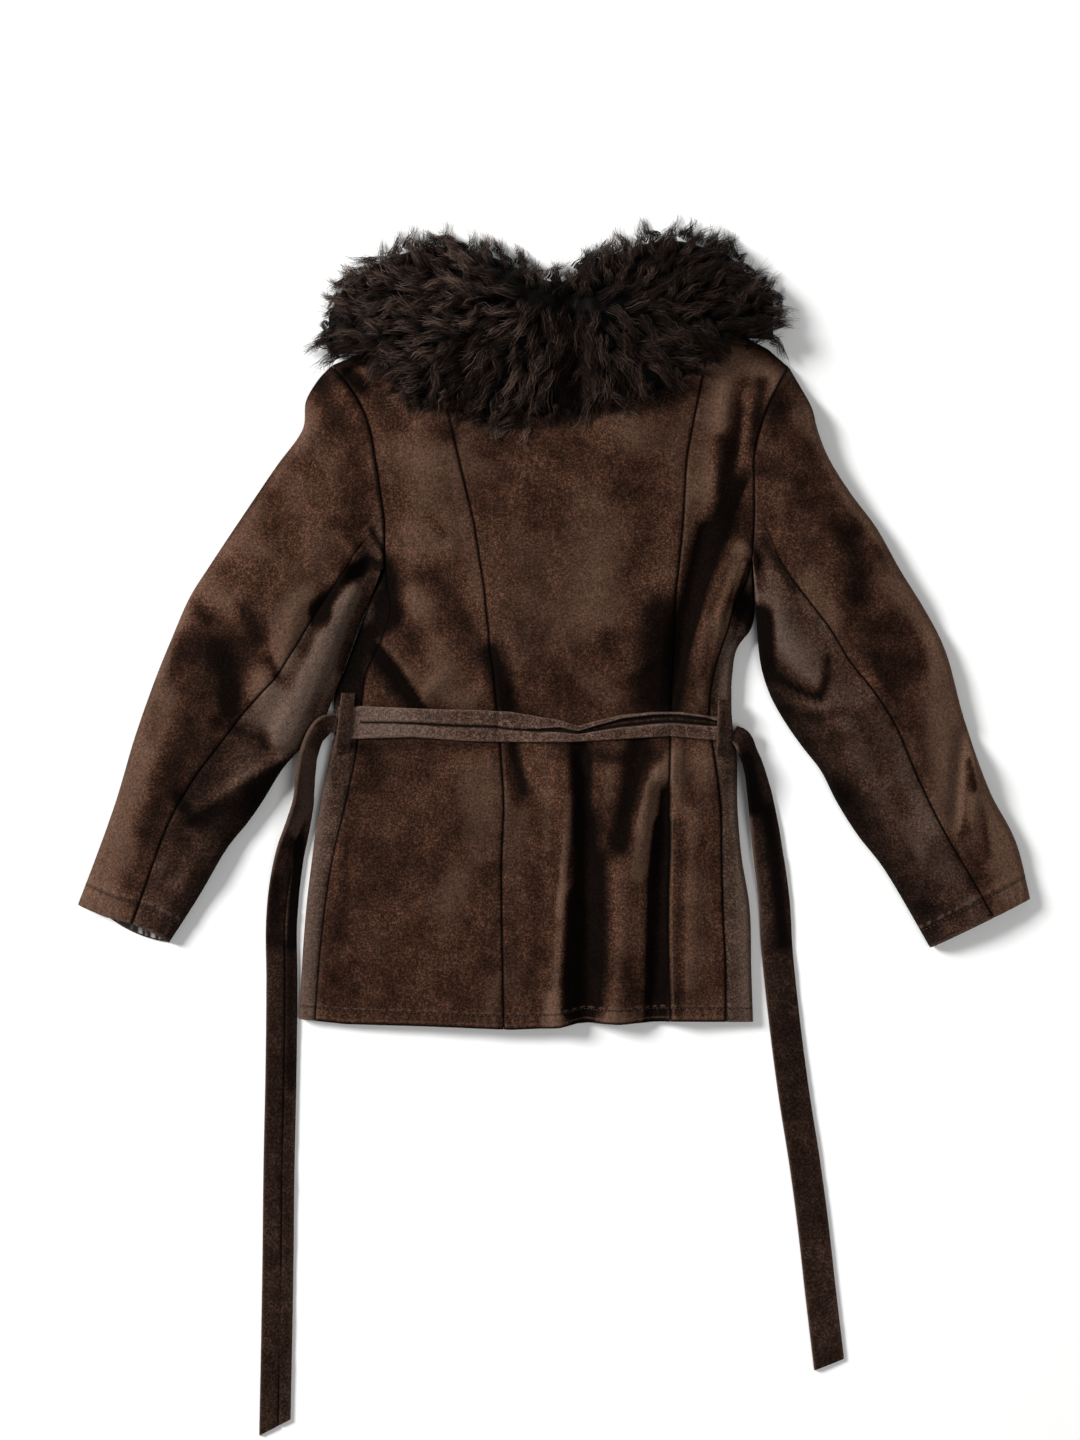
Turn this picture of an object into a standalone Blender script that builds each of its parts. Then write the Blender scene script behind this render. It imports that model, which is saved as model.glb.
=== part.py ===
"""Short belted suede coat with a wide shaggy fur collar, lying front down on a flat surface.

Sizes are in millimetres and become metres where a mesh is made. x runs across the coat, y up
towards the collar and z up from the surface that it lies on. Left and right are the wearer's,
which are the viewer's too, because the back is on top. Each piece is a wall between an outer
and an inner grid of points. The grids come from short tables of sections and folds.
"""

from collections import namedtuple

import bmesh
import bpy
import numpy as np

MM = 0.001
HIDE = 2.6            # thickness of the suede with its short pile
SEAM_GAP = 0.3        # between two pieces at a seam
SEAM_DIP = 1.0        # how far a seam sinks into the cloth
LYING = 0.45          # clearance between a piece and what it lies on
OVERLAP_LIFT = 2.9    # the left front lies on the right one by this much
CLOSURE_RIGHT = -20.0
CLOSURE_LEFT = 40.0
ARMPIT_LEFT = 262.0
ARMPIT_RIGHT = 271.0
SHOULDER_EDGE = 4.9   # height of the back where it meets the front at the shoulder seam
SHOULDER_REACH = 30.0
NECK_CENTRE = 16.0
NECK_HALF = 90.0
BACK_NECK_DEPTH = 32.0
FRONT_NECK_DEPTH = 100.0
WAIST_SINK = 3.0      # how far the belt draws the back in
WAIST_REACH = 17.0
PRESS_SHARE = 0.85    # how much of a fold the belt presses flat
PRESS_REACH = 19.0
STEP_FADE = 18.0      # length over which a step fades out past its ends
BELT_THICK = 4.2
BELT_WIDTH = 31.0
BELT_LEFT_END = -214.8
BELT_RIGHT_END = 176.2
BELT_SEAT = 1.0       # clearance below the belt, which bridges the small hollows of the panels
LOOP_THICK = 2.2
MIN_TOP = 8.2         # lowest height of the upper layer, clear of the lower one

TorsoRow = namedtuple("TorsoRow", "up left left_seam left_princess right_princess right_seam right edge crown")
TORSO = (
    TorsoRow(-196, -255, -239, -50, 116, 171, 199, 11, 20),
    TorsoRow(-139, -252, -235, -51, 114, 171, 197, 12, 24),
    TorsoRow(-73, -247, -228, -52, 113, 168, 195, 13, 28),
    TorsoRow(-23, -241, -220, -52, 114, 167, 187, 14, 30),
    TorsoRow(27, -234, -208, -50, 114, 166, 183, 15, 30),
    TorsoRow(80, -223, -197, -53, 115, 159, 182, 15, 27),
    TorsoRow(108, -218, -194, -55, 116, 155, 178, 15, 24),
    TorsoRow(135, -213, -191, -58, 117, 155, 177, 15, 26),
    TorsoRow(159, -203, -187, -60, 118, 159, 178, 16, 30),
    TorsoRow(186, -190, -174, -64, 119, 167, 185, 18, 34),
    TorsoRow(218, -179, -163, -67, 120, 177, 192, 20, 37),
    TorsoRow(241, -173, -165, -69, 121, 188, 195, 21, 38),
    TorsoRow(267, -170, -168, -73, 124, 195, 197, 22, 38),
    TorsoRow(310, -169, -169, -80, 128, 199, 199, 23, 38),
    TorsoRow(348, -174, -174, -89, 130, 199, 199, 24, 38),
    TorsoRow(374, -178, -178, -95, 132, 199, 199, 24, 38),
    TorsoRow(401, -183, -183, -101, 137, 205, 205, 24, 37),
    TorsoRow(427, -193, -193, -107, 142, 214, 214, 24, 35),
    TorsoRow(447, -206, -206, -110, 146, 224, 224, 24, 32),
    TorsoRow(466, -222, -222, -112, 150, 235, 235, 24, 30),
    TorsoRow(530, -222, -222, -114, 160, 235, 235, 24, 30),
)

LinePoint = namedtuple("LinePoint", "x y")
HEM = (LinePoint(-256, -186), LinePoint(-208, -191), LinePoint(-125, -193), LinePoint(-42, -196),
       LinePoint(5, -194), LinePoint(32, -189), LinePoint(66, -191), LinePoint(117, -188), LinePoint(200, -189))
BELT_LOW = (LinePoint(-222, 91), LinePoint(-201, 93), LinePoint(-141, 95), LinePoint(-88, 91),
            LinePoint(-42, 90), LinePoint(16, 90), LinePoint(66, 93), LinePoint(115, 96), LinePoint(180, 90))
BELT_HIGH = (LinePoint(-222, 124), LinePoint(-196, 126), LinePoint(-125, 123), LinePoint(-75, 122),
             LinePoint(-42, 120), LinePoint(5, 112), LinePoint(24, 106), LinePoint(42, 111),
             LinePoint(66, 117), LinePoint(99, 120), LinePoint(125, 120), LinePoint(148, 117), LinePoint(180, 112))
SHOULDER = (LinePoint(-230, 463), LinePoint(-222, 466), LinePoint(-114, 510), LinePoint(-74, 527),
            LinePoint(106, 525), LinePoint(158, 504), LinePoint(234, 464), LinePoint(242, 460))

Fold = namedtuple("Fold", "name path width rise flat")
Step = namedtuple("Step", "name path rise sharp reach")
TORSO_FOLDS = (
    Fold("strap fold from the right armpit to the waist", ((184, 276), (161, 222), (146, 170), (138, 118)), 15, 10, 4),
    Fold("hollow left of the strap fold", ((148, 300), (128, 210), (120, 130)), 12, -9, 2),
    Fold("hollow right of the strap fold", ((190, 238), (176, 196)), 9, -6, 2),
    Fold("valley beside the right armhole", ((188, 444), (181, 372)), 9, -5, 2),
    Fold("ridge beside that valley", ((170, 440), (168, 360)), 9, 3, 2),
    Fold("slant valley of the left side panel", ((-118, 250), (-74, 176)), 16, -4, 2),
    Fold("swell of the left side panel", ((-140, 290), (-128, 190)), 30, 6, 2),
    Fold("pleat right of the left princess seam", ((-42, 88), (-34, 34)), 8, -5, 2),
    Fold("ridge of the centre skirt", ((12, 60), (10, -60), (4, -196)), 14, 6, 2),
    Fold("deep valley of the centre skirt", ((26, 92), (32, 0), (38, -196)), 13, -12, 2),
    Fold("slant ridge of the centre skirt", ((106, 66), (70, -40), (56, -196)), 17, 8, 2),
    Fold("valley before the right princess seam", ((106, 40), (104, -60), (100, -196)), 10, -10, 2),
    Fold("dart above the belt", ((40, 150), (34, 118)), 9, -4, 2),
)
TORSO_STEPS = (
    Step("left side panel blouses over the waist", ((-160, 235), (-173, 188), (-136, 137)), 9, 4, 46),
    Step("right side panel stands over the centre", ((114, -200), (114, 0), (116, 96)), 7, 4, 60),
)
SLEEVE_LEFT_FOLDS = (
    Fold("underarm ridge", ((-206, 244), (-226, 190), (-250, 130), (-268, 96)), 14, 9, 4),
    Fold("hollow behind the underarm ridge", ((-180, 272), (-238, 216), (-250, 184)), 11, -8, 2),
    Fold("upper arm crease", ((-297, 344), (-262, 326)), 8, -4, 2),
    Fold("shoulder swell", ((-236, 420), (-206, 380)), 26, 4, 2),
    Fold("elbow dent", ((-330, 192), (-318, 176)), 24, -6, 2),
    Fold("outer elbow crease", ((-366, 232), (-342, 214)), 9, -4, 2),
    Fold("elbow crease at the seam", ((-332, 108), (-288, 94)), 9, -6, 2),
    Fold("crease above the elbow", ((-284, 172), (-272, 150)), 8, -4, 2),
    Fold("forearm ridge", ((-270, 66), (-300, 54), (-322, 36)), 10, 5, 2),
    Fold("lower forearm ridge", ((-330, -26), (-368, -54)), 11, 4, 2),
)
SLEEVE_RIGHT_FOLDS = (
    Fold("underarm ridge", ((206, 250), (226, 190), (262, 140)), 15, 5, 2),
    Fold("first slant crease", ((207, 166), (264, 134)), 9, -6, 2),
    Fold("second slant crease", ((232, 112), (262, 112)), 8, -4, 2),
    Fold("shoulder swell", ((240, 420), (226, 380)), 26, 4, 2),
    Fold("elbow dent", ((366, 196), (350, 150)), 18, -4, 2),
    Fold("pleat above the cuff", ((407, 97), (399, 18)), 9, -6, 2),
    Fold("ridge beside that pleat", ((420, 80), (414, 14)), 10, 4, 2),
    Fold("inner forearm dent", ((300, 30), (330, -10)), 14, -4, 2),
)

SleeveRow = namedtuple("SleeveRow", "along outer_x outer_y inner_x inner_y seam edge crown")
SLEEVE_LEFT = (
    SleeveRow(0.00, -222, 466, -172, 263, 0.735, 18, 26),
    SleeveRow(0.05, -235, 452, -180, 240, 0.750, 18, 32),
    SleeveRow(0.10, -247, 431, -186, 226, 0.730, 18, 35),
    SleeveRow(0.16, -251, 401, -193, 210, 0.720, 18, 37),
    SleeveRow(0.22, -276, 366, -203, 182, 0.700, 18, 37),
    SleeveRow(0.30, -306, 322, -216, 145, 0.670, 17, 36),
    SleeveRow(0.38, -344, 265, -234, 102, 0.650, 17, 35),
    SleeveRow(0.46, -364, 233, -252, 84, 0.645, 17, 34),
    SleeveRow(0.54, -381, 194, -270, 64, 0.620, 16, 33),
    SleeveRow(0.64, -398, 152, -290, 32, 0.580, 16, 32),
    SleeveRow(0.76, -419, 92, -306, 9, 0.520, 16, 30),
    SleeveRow(0.87, -438, 28, -330, -22, 0.490, 16, 28),
    SleeveRow(0.95, -457, -25, -358, -70, 0.530, 15, 25),
    SleeveRow(1.00, -475, -72, -384, -110, 0.590, 14, 22),
)
SLEEVE_RIGHT = (
    SleeveRow(0.00, 235, 464, 199, 272, 0.720, 18, 26),
    SleeveRow(0.05, 247, 443, 201, 243, 0.680, 18, 32),
    SleeveRow(0.10, 257, 424, 202, 222, 0.660, 18, 35),
    SleeveRow(0.16, 263, 401, 203, 197, 0.630, 18, 37),
    SleeveRow(0.22, 273, 375, 206, 168, 0.580, 18, 37),
    SleeveRow(0.30, 296, 338, 215, 138, 0.540, 17, 36),
    SleeveRow(0.38, 322, 303, 229, 112, 0.525, 17, 35),
    SleeveRow(0.46, 345, 262, 247, 86, 0.525, 17, 34),
    SleeveRow(0.54, 368, 225, 265, 63, 0.510, 16, 33),
    SleeveRow(0.64, 390, 182, 281, 32, 0.485, 16, 32),
    SleeveRow(0.76, 410, 110, 303, -3, 0.470, 16, 30),
    SleeveRow(0.87, 436, 38, 330, -38, 0.468, 16, 28),
    SleeveRow(0.95, 463, -16, 354, -78, 0.450, 15, 25),
    SleeveRow(1.00, 475, -66, 375, -115, 0.380, 14, 22),
)

CollarRow = namedtuple("CollarRow", "x low high")
COLLAR = (
    CollarRow(-238, 470, 486), CollarRow(-226, 465, 524), CollarRow(-213, 464, 552), CollarRow(-190, 463, 573),
    CollarRow(-165, 443, 586), CollarRow(-133, 418, 595), CollarRow(-101, 413, 597), CollarRow(-63, 399, 588),
    CollarRow(-31, 397, 574), CollarRow(7, 404, 563), CollarRow(39, 412, 581), CollarRow(81, 418, 598),
    CollarRow(122, 438, 604), CollarRow(150, 460, 597), CollarRow(175, 476, 588), CollarRow(200, 482, 562),
    CollarRow(220, 486, 545), CollarRow(232, 498, 520),
)

TailRow = namedtuple("TailRow", "x y rise bank")
TAIL_LEFT = (
    TailRow(-216.3, 109, 16.0, 0), TailRow(-227, 108, 12.0, 30), TailRow(-237, 99, 5.0, 56), TailRow(-245, 80, 1.5, 62),
    TailRow(-249, 54, 0, 60), TailRow(-251, 32, 0, 57), TailRow(-256, 8, 0, 45), TailRow(-263, -18, 0, 31),
    TailRow(-269, -52, 0, 17), TailRow(-272, -84, 0, 6), TailRow(-272, -151, 0, 0), TailRow(-273, -245, 0, 0),
    TailRow(-275, -339, 0, 0), TailRow(-276, -434, 0, 0), TailRow(-279, -595, 0, 0),
)
TAIL_RIGHT = (
    TailRow(177.3, 106, 16.0, 0), TailRow(187, 105, 13.0, -22), TailRow(192, 90, 6.0, -46),
    TailRow(196, 73, 1.5, -54), TailRow(201, 46, 0, -44), TailRow(208, 9, 0, -26), TailRow(214, -25, 0, -14),
    TailRow(220, -69, 0, -5), TailRow(223, -118, 0, 0),
    TailRow(228, -168, 0, 0), TailRow(240, -263, 0, 0), TailRow(251, -333, 0, 0), TailRow(259, -393, 0, 0),
    TailRow(266, -456, 0, 0), TailRow(275, -532, 0, 0),
)

LoopSize = namedtuple("LoopSize", "top_x top_y foot_x foot_y width")
LOOP_LEFT = LoopSize(-204.5, 139, -211.0, 80, 14)
LOOP_RIGHT = LoopSize(169.0, 132, 167.0, 77, 12)

SUEDE = (0.060, 0.030, 0.018)
SUEDE_GREY = (0.066, 0.040, 0.028)
BELT_ROUGH = (0.130, 0.078, 0.055)
FUR = (0.020, 0.013, 0.010)
SATIN = (0.050, 0.045, 0.045)


def curve_through(knots, values, at):
    """Smooth curve through a table's values, read at the given places."""
    knots = np.asarray(knots, float)
    values = np.asarray(values, float)
    slopes = np.gradient(values, knots)
    at = np.clip(at, knots[0], knots[-1])
    low = np.clip(np.searchsorted(knots, at, side="right") - 1, 0, len(knots) - 2)
    span = knots[low + 1] - knots[low]
    t = (at - knots[low]) / span
    start = (2 * t**3 - 3 * t**2 + 1) * values[low] + (t**3 - 2 * t**2 + t) * span * slopes[low]
    end = (3 * t**2 - 2 * t**3) * values[low + 1] + (t**3 - t**2) * span * slopes[low + 1]
    return start + end


def column(table, key, name, at):
    """One named column of a table, as a smooth curve over its key column."""
    return curve_through([getattr(row, key) for row in table], [getattr(row, name) for row in table], at)


def line_at(line, x):
    """Height y of a guide line at x, straight between its points."""
    return np.interp(x, [point.x for point in line], [point.y for point in line])


def smooth(t):
    """Soft step from 0 to 1."""
    t = np.clip(t, 0.0, 1.0)
    return t * t * (3 - 2 * t)


def beside(path, x, y):
    """Distance from a path, the signed distance across it (left is positive) and how far past its ends."""
    near = np.full(np.shape(x), np.inf)
    across = np.zeros(np.shape(x))
    past = np.zeros(np.shape(x))
    last = len(path) - 2
    for number, ((x0, y0), (x1, y1)) in enumerate(zip(path, path[1:])):
        dx, dy = x1 - x0, y1 - y0
        length = np.hypot(dx, dy)
        free = ((x - x0) * dx + (y - y0) * dy) / length**2
        t = np.clip(free, 0, 1)
        gap = np.hypot(x - x0 - t * dx, y - y0 - t * dy)
        over = np.zeros(np.shape(x))
        if number == 0:
            over = np.maximum(over, -free * length)
        if number == last:
            over = np.maximum(over, (free - 1) * length)
        side = (dx * (y - y0) - dy * (x - x0)) / length
        closer = gap < near
        near = np.where(closer, gap, near)
        across = np.where(closer, np.sign(side) * gap, across)
        past = np.where(closer, over, past)
    return near, across, past


def fold_height(x, y, folds, steps=()):
    """Sum of the soft ridges and troughs, and of the steps that end sharply on one side."""
    total = np.zeros(np.shape(x))
    for fold in folds:
        near, _, _ = beside(fold.path, x, y)
        total += fold.rise * np.exp(-(near / fold.width) ** fold.flat)
    for step in steps:
        _, across, past = beside(step.path, x, y)
        face = 0.5 + 0.5 * np.tanh(across / step.sharp)
        total += step.rise * face * np.exp(-(np.maximum(across, 0) / step.reach) ** 2 - (past / STEP_FADE) ** 2)
    return total


def armpit(x):
    """Height y of the armpit line, straight from the left armpit to the right one."""
    return np.interp(x, (-170, 197), (ARMPIT_LEFT, ARMPIT_RIGHT))


def back_top(x):
    """Top edge of the back: the shoulder seams with the shallow back neck between them."""
    reach = np.clip(np.abs(x - NECK_CENTRE) / NECK_HALF, 0, 1)
    return line_at(SHOULDER, x) - BACK_NECK_DEPTH * np.sqrt(1 - reach**2)


def front_top(x):
    """Top edge of the fronts: the shoulder seams with the deep front neck between them."""
    reach = np.clip(np.abs(x - NECK_CENTRE) / NECK_HALF, 0, 1)
    return line_at(SHOULDER, x) - FRONT_NECK_DEPTH * np.sqrt(1 - reach**2)


def torso_base(x, y):
    """Height of the upper layer without its folds: rolled sides, a crown, and a fall to the shoulder seams."""
    left = column(TORSO, "up", "left", y)
    right = column(TORSO, "up", "right", y)
    edge = column(TORSO, "up", "edge", y)
    crown = column(TORSO, "up", "crown", y)
    radius = roll_radius(y, np.where(x < 0, 1, -1))
    depth = np.clip(1 - np.minimum(x - left, right - x) / radius, 0, 1)
    rolled = 0.5 * edge * (1 + np.sqrt(1 - depth**2))
    rolled += (edge - rolled) * smooth((y - armpit(x)) / 15)
    share = np.clip((x - left) / (right - left), 0, 1)
    height = rolled + (crown - edge) * np.sin(np.pi * share)
    waist = 0.5 * (line_at(BELT_LOW, x) + line_at(BELT_HIGH, x))
    height -= WAIST_SINK * np.exp(-((y - waist) / WAIST_REACH) ** 2) * np.sin(np.pi * share)
    below = np.clip((line_at(SHOULDER, x) - y) / SHOULDER_REACH, 0, 1)
    fall = np.sin(0.5 * np.pi * below)
    neck = smooth((np.abs(x - NECK_CENTRE) - NECK_HALF + 12) / 24)
    return height + neck * (SHOULDER_EDGE + (height - SHOULDER_EDGE) * fall - height)


def roll_radius(y, side):
    """Radius across of the rolled side edge, kept outside the side seam; side is 1 on the left, -1 on the right."""
    half = 0.5 * column(TORSO, "up", "edge", y)
    left_strip = column(TORSO, "up", "left_seam", y) - column(TORSO, "up", "left", y)
    right_strip = column(TORSO, "up", "right", y) - column(TORSO, "up", "right_seam", y)
    strip = np.where(np.asarray(side) > 0, left_strip, right_strip)
    return np.clip(0.8 * strip, 1.2, half)


def torso_folds(x, y):
    """Folds of the upper layer, faded at the shoulder seams and held clear of the layer below."""
    below = smooth((line_at(SHOULDER, x) - y) / SHOULDER_REACH)
    waist = 0.5 * (line_at(BELT_LOW, x) + line_at(BELT_HIGH, x))
    pressed = 1 - PRESS_SHARE * np.exp(-((y - waist) / PRESS_REACH) ** 2)
    folded = fold_height(x, y, TORSO_FOLDS, TORSO_STEPS) * below * pressed
    base = torso_base(x, y)
    return np.where(below > 0.99, np.maximum(folded, MIN_TOP - base), folded)


def torso_height(x, y):
    """Height of the upper layer's outer face."""
    return torso_base(x, y) + torso_folds(x, y)


def slope_normal(height, x, y):
    """Unit normals of a height function, from small differences."""
    step = 0.5
    fall_x = (height(x + step, y) - height(x - step, y)) / (2 * step)
    fall_y = (height(x, y + step) - height(x, y - step)) / (2 * step)
    normal = np.stack([-fall_x, -fall_y, np.ones_like(fall_x)], axis=-1)
    return normal / np.linalg.norm(normal, axis=-1, keepdims=True)


ROW_COUNTS = (12, 2, 8, 11)   # rows from hem to belt, under the belt, belt to armpit, armpit to top
BELT_FIRST = ROW_COUNTS[0]
ARMPIT_ROW = sum(ROW_COUNTS[:3])
ROW_GUIDE = np.concatenate([np.full(count, number) for number, count in enumerate(ROW_COUNTS)] + [[3]])
YOKE_SHARE = 0.5 - 0.5 * np.cos(np.pi * np.arange(ROW_COUNTS[3]) / ROW_COUNTS[3])
ROW_SHARE = np.concatenate([np.arange(count) / count for count in ROW_COUNTS[:3]] + [YOKE_SHARE, [1.0]])


def rows_at(x, top):
    """Place y of every row of points: rows are spaced evenly between the guide lines."""
    guides = np.stack([line_at(HEM, x), line_at(BELT_LOW, x), line_at(BELT_HIGH, x), armpit(x), top(x)])
    number = np.arange(len(ROW_GUIDE))
    share = ROW_SHARE[:, None]
    return guides[ROW_GUIDE, number] * (1 - share) + guides[ROW_GUIDE + 1, number] * share


def settle(places, top):
    """x and y of a grid whose columns depend on y and whose rows depend on x."""
    y = rows_at(places(np.zeros((len(ROW_GUIDE), 1))), top)
    for _ in range(8):
        x = places(y)
        y = rows_at(x, top)
    return x, y


def shell(outer, inner, cells=None):
    """Closed wall between two grids of points, as vertices and faces; a cell that is left out is open."""
    rows, columns = outer.shape[:2]
    count = rows * columns
    if cells is None:
        cells = np.ones((rows - 1, columns - 1), bool)
    faces = []
    border = set()
    for i, j in zip(*np.nonzero(cells)):
        corner = i * columns + j
        loop = [corner, corner + 1, corner + columns + 1, corner + columns]
        faces.append(loop)
        faces.append([count + number for number in reversed(loop)])
        for a, b in zip(loop, loop[1:] + loop[:1]):
            if (b, a) in border:
                border.discard((b, a))
            else:
                border.add((a, b))
    faces.extend([b, a, count + a, count + b] for a, b in sorted(border))
    return np.concatenate([outer.reshape(-1, 3), inner.reshape(-1, 3)]), faces


def suede_material(name, colour, roughness):
    """Plain Principled material with the piece's colour."""
    material = bpy.data.materials.new(name)
    material.use_nodes = True
    surface = material.node_tree.nodes["Principled BSDF"]
    surface.inputs["Base Color"].default_value = (*colour, 1.0)
    surface.inputs["Roughness"].default_value = roughness
    surface.inputs["Metallic"].default_value = 0.0
    material.diffuse_color = (*colour, 1.0)
    return material


def add_piece(collection, name, wall, material):
    """One named object from a wall's vertices and faces, with its faces pointing out."""
    points, faces = wall
    mesh = bpy.data.meshes.new(name)
    mesh.from_pydata((points * MM).tolist(), [], faces)
    form = bmesh.new()
    form.from_mesh(mesh)
    loose = [vertex for vertex in form.verts if not vertex.link_faces]
    bmesh.ops.delete(form, geom=loose, context="VERTS")
    bmesh.ops.recalc_face_normals(form, faces=form.faces)
    form.to_mesh(mesh)
    form.free()
    mesh.shade_smooth()
    mesh.set_sharp_from_angle(angle=np.radians(50))
    mesh.materials.append(material)
    piece = bpy.data.objects.new(name, mesh)
    collection.objects.link(piece)
    return piece


def seam_curve(name):
    """A seam of the body as a function of y."""
    return lambda y: column(TORSO, "up", name, y)


def back_panel(left_seam, right_seam, cells):
    """Outer and inner grid of one back panel, between two seams."""
    shares = np.linspace(0, 1, cells + 1)

    def places(y):
        left = seam_curve(left_seam)(y) + 0.5 * SEAM_GAP
        right = seam_curve(right_seam)(y) - 0.5 * SEAM_GAP
        return left + (right - left) * shares

    x, y = settle(places, back_top)
    dip = np.zeros_like(x)
    dip[:, [0, -1]] = SEAM_DIP
    folds = torso_folds(x, y) - dip
    base = np.stack([x, y, torso_base(x, y)], axis=-1)
    inner = base - HIDE * slope_normal(torso_base, x, y)
    inner[:, [0, -1], :2] = base[:, [0, -1], :2]
    base[..., 2] += folds
    inner[..., 2] = np.maximum(inner[..., 2] + folds, HIDE + SEAM_GAP)
    return base, inner


TOP_SHARES = np.array([0.0, 0.5, 1.0])
ROLL_ANGLES = np.radians(90 + 36 * np.arange(1, 6))
FLOOR_SHARES = np.array([1 / 3, 2 / 3])
WRAP_CELLS = len(TOP_SHARES) + len(ROLL_ANGLES) - 1
FLOOR_STOPS_LEFT = (CLOSURE_RIGHT - 26, CLOSURE_RIGHT - 4, CLOSURE_LEFT)
FLOOR_STOPS_RIGHT = (70, 25, CLOSURE_RIGHT)


def front_panel(side):
    """Grids and open cells of a front: from the side seam round the rolled edge and along the floor.

    side is 1 for the left front and -1 for the right one.
    """
    names = ("left_seam", "left") if side > 0 else ("right_seam", "right")
    stops = np.array(FLOOR_STOPS_LEFT if side > 0 else FLOOR_STOPS_RIGHT, float)
    pit = ARMPIT_LEFT if side > 0 else ARMPIT_RIGHT

    def parts(y):
        seam = seam_curve(names[0])(y) - side * 0.5 * SEAM_GAP
        radius = roll_radius(y, side)
        start = seam_curve(names[1])(y) + side * radius
        armhole = seam_curve(names[0])(y) + side * 0.5 * SEAM_GAP
        return seam, radius, start, np.where(y > pit + 1, armhole, start)

    def places(y):
        wide = np.broadcast_to(y, (len(y), WRAP_CELLS + 1 + len(FLOOR_SHARES) + len(stops)))
        seam, radius, start, first = parts(wide)
        top = seam[:, :3] + (start - seam)[:, :3] * TOP_SHARES
        turn = slice(3, WRAP_CELLS)
        roll = start[:, turn] + side * radius[:, turn] * np.cos(ROLL_ANGLES[:-1])
        floor = first[:, WRAP_CELLS:WRAP_CELLS + 1]
        spread = first[:, :2] + (stops[0] - first[:, :2]) * FLOOR_SHARES
        return np.concatenate([top, roll, floor, spread, np.broadcast_to(stops, (len(y), 3))], axis=1)

    x, y = settle(places, front_top)
    _, radius, start, _ = parts(y)
    edge = column(TORSO, "up", "edge", y)
    height = np.zeros_like(x)
    normal = np.zeros((*x.shape, 3))
    top = slice(0, 3)
    height[:, top] = torso_height(x[:, top], y[:, top])
    height[:, 0] -= SEAM_DIP
    normal[:, top] = slope_normal(torso_base, x[:, top], y[:, top])
    turn = slice(3, WRAP_CELLS)
    sine = np.sin(ROLL_ANGLES[:-1])
    above = torso_height(start[:, turn], y[:, turn]) - edge[:, turn]
    height[:, turn] = 0.5 * edge[:, turn] * (1 + sine) + above * 0.5 * (1 + sine)
    normal[:, turn] = np.stack([side * np.cos(ROLL_ANGLES[:-1]), 0 * sine, sine], axis=-1)
    flat = slice(WRAP_CELLS, None)
    normal[:, flat] = (0, 0, -1)
    if side > 0:
        height[:, flat] = OVERLAP_LIFT * smooth((x[:, flat] - stops[0]) / (stops[1] - stops[0]))
    outer = np.stack([x, y, height], axis=-1)
    inner = outer - HIDE * normal
    inner[:, 0, :2] = outer[:, 0, :2]
    turned = slice(1, WRAP_CELLS)
    seam = seam_curve(names[0])(y[:, turned]) - side * SEAM_GAP
    inner[:, turned, 0] = side * np.minimum(side * inner[:, turned, 0], side * seam)
    cells = np.ones((outer.shape[0] - 1, outer.shape[1] - 1), bool)
    cells[ARMPIT_ROW:, :WRAP_CELLS] = False
    return outer, inner, cells


TOP_CELLS = 7         # cells of the top sleeve's upper side
UNDER_CELLS = 4       # cells of the under sleeve's upper side
UNDER_TURN = 2        # cells of the under sleeve below
TOP_TURN = 9          # cells of the top sleeve below
RING = TOP_CELLS + UNDER_CELLS + UNDER_TURN + TOP_TURN
UPPER_LAST = TOP_CELLS + UNDER_CELLS
LOWER_SEAM = 0.86     # place across of the sleeve's front seam, below
SLEEVE_STATIONS = 27
CUFF_PEEK = 7.0       # how far the lower layer of the left cuff shows past the upper one
LEAST_SLEEVE = 9.5    # lowest height of a sleeve's upper side


def quarter(cells):
    """Shares from 0 to 1 that lie close together at 0."""
    return 1 - np.cos(0.5 * np.pi * np.arange(cells + 1) / cells)


def ring_shares(seam):
    """Places across of a sleeve ring's points: 0 is the outer edge and 1 the inner one."""
    over_top = seam * quarter(TOP_CELLS)[:-1]
    over_under = 1 - (1 - seam) * quarter(UNDER_CELLS)[::-1][:-1]
    below_under = 1 - (1 - LOWER_SEAM) * quarter(UNDER_TURN)[:-1] + 0 * seam
    below_top = LOWER_SEAM * quarter(TOP_TURN)[::-1][:-1] + 0 * seam
    return np.concatenate([over_top, over_under, below_under, below_top], axis=1)


def armhole_ring(back_edge, front_edge, side):
    """Closed ring of points just outside the body's armhole: over the back's edge and under the front's."""
    pit_x = seam_curve("left" if side > 0 else "right")(ARMPIT_LEFT if side > 0 else ARMPIT_RIGHT)
    shoulder = 0.5 * (back_edge[-1] + front_edge[-1])
    pit = np.array([pit_x, back_edge[0, 1] + SEAM_GAP, 11.0])
    ring = np.concatenate([[shoulder], back_edge[-2:0:-1], [pit], front_edge[1:-1]])
    ring[:, 0] -= side * SEAM_GAP
    return ring


def keep_outside(points, side):
    """Points of a sleeve below the armpit, pushed out to where the body's side ends."""
    edge = seam_curve("left" if side > 0 else "right")(points[..., 1]) - side * 1.0
    pit = ARMPIT_LEFT if side > 0 else ARMPIT_RIGHT
    moved = side * np.minimum(side * points[..., 0], side * edge)
    points[..., 0] = np.where(points[..., 1] < pit, moved, points[..., 0])
    return points


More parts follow.
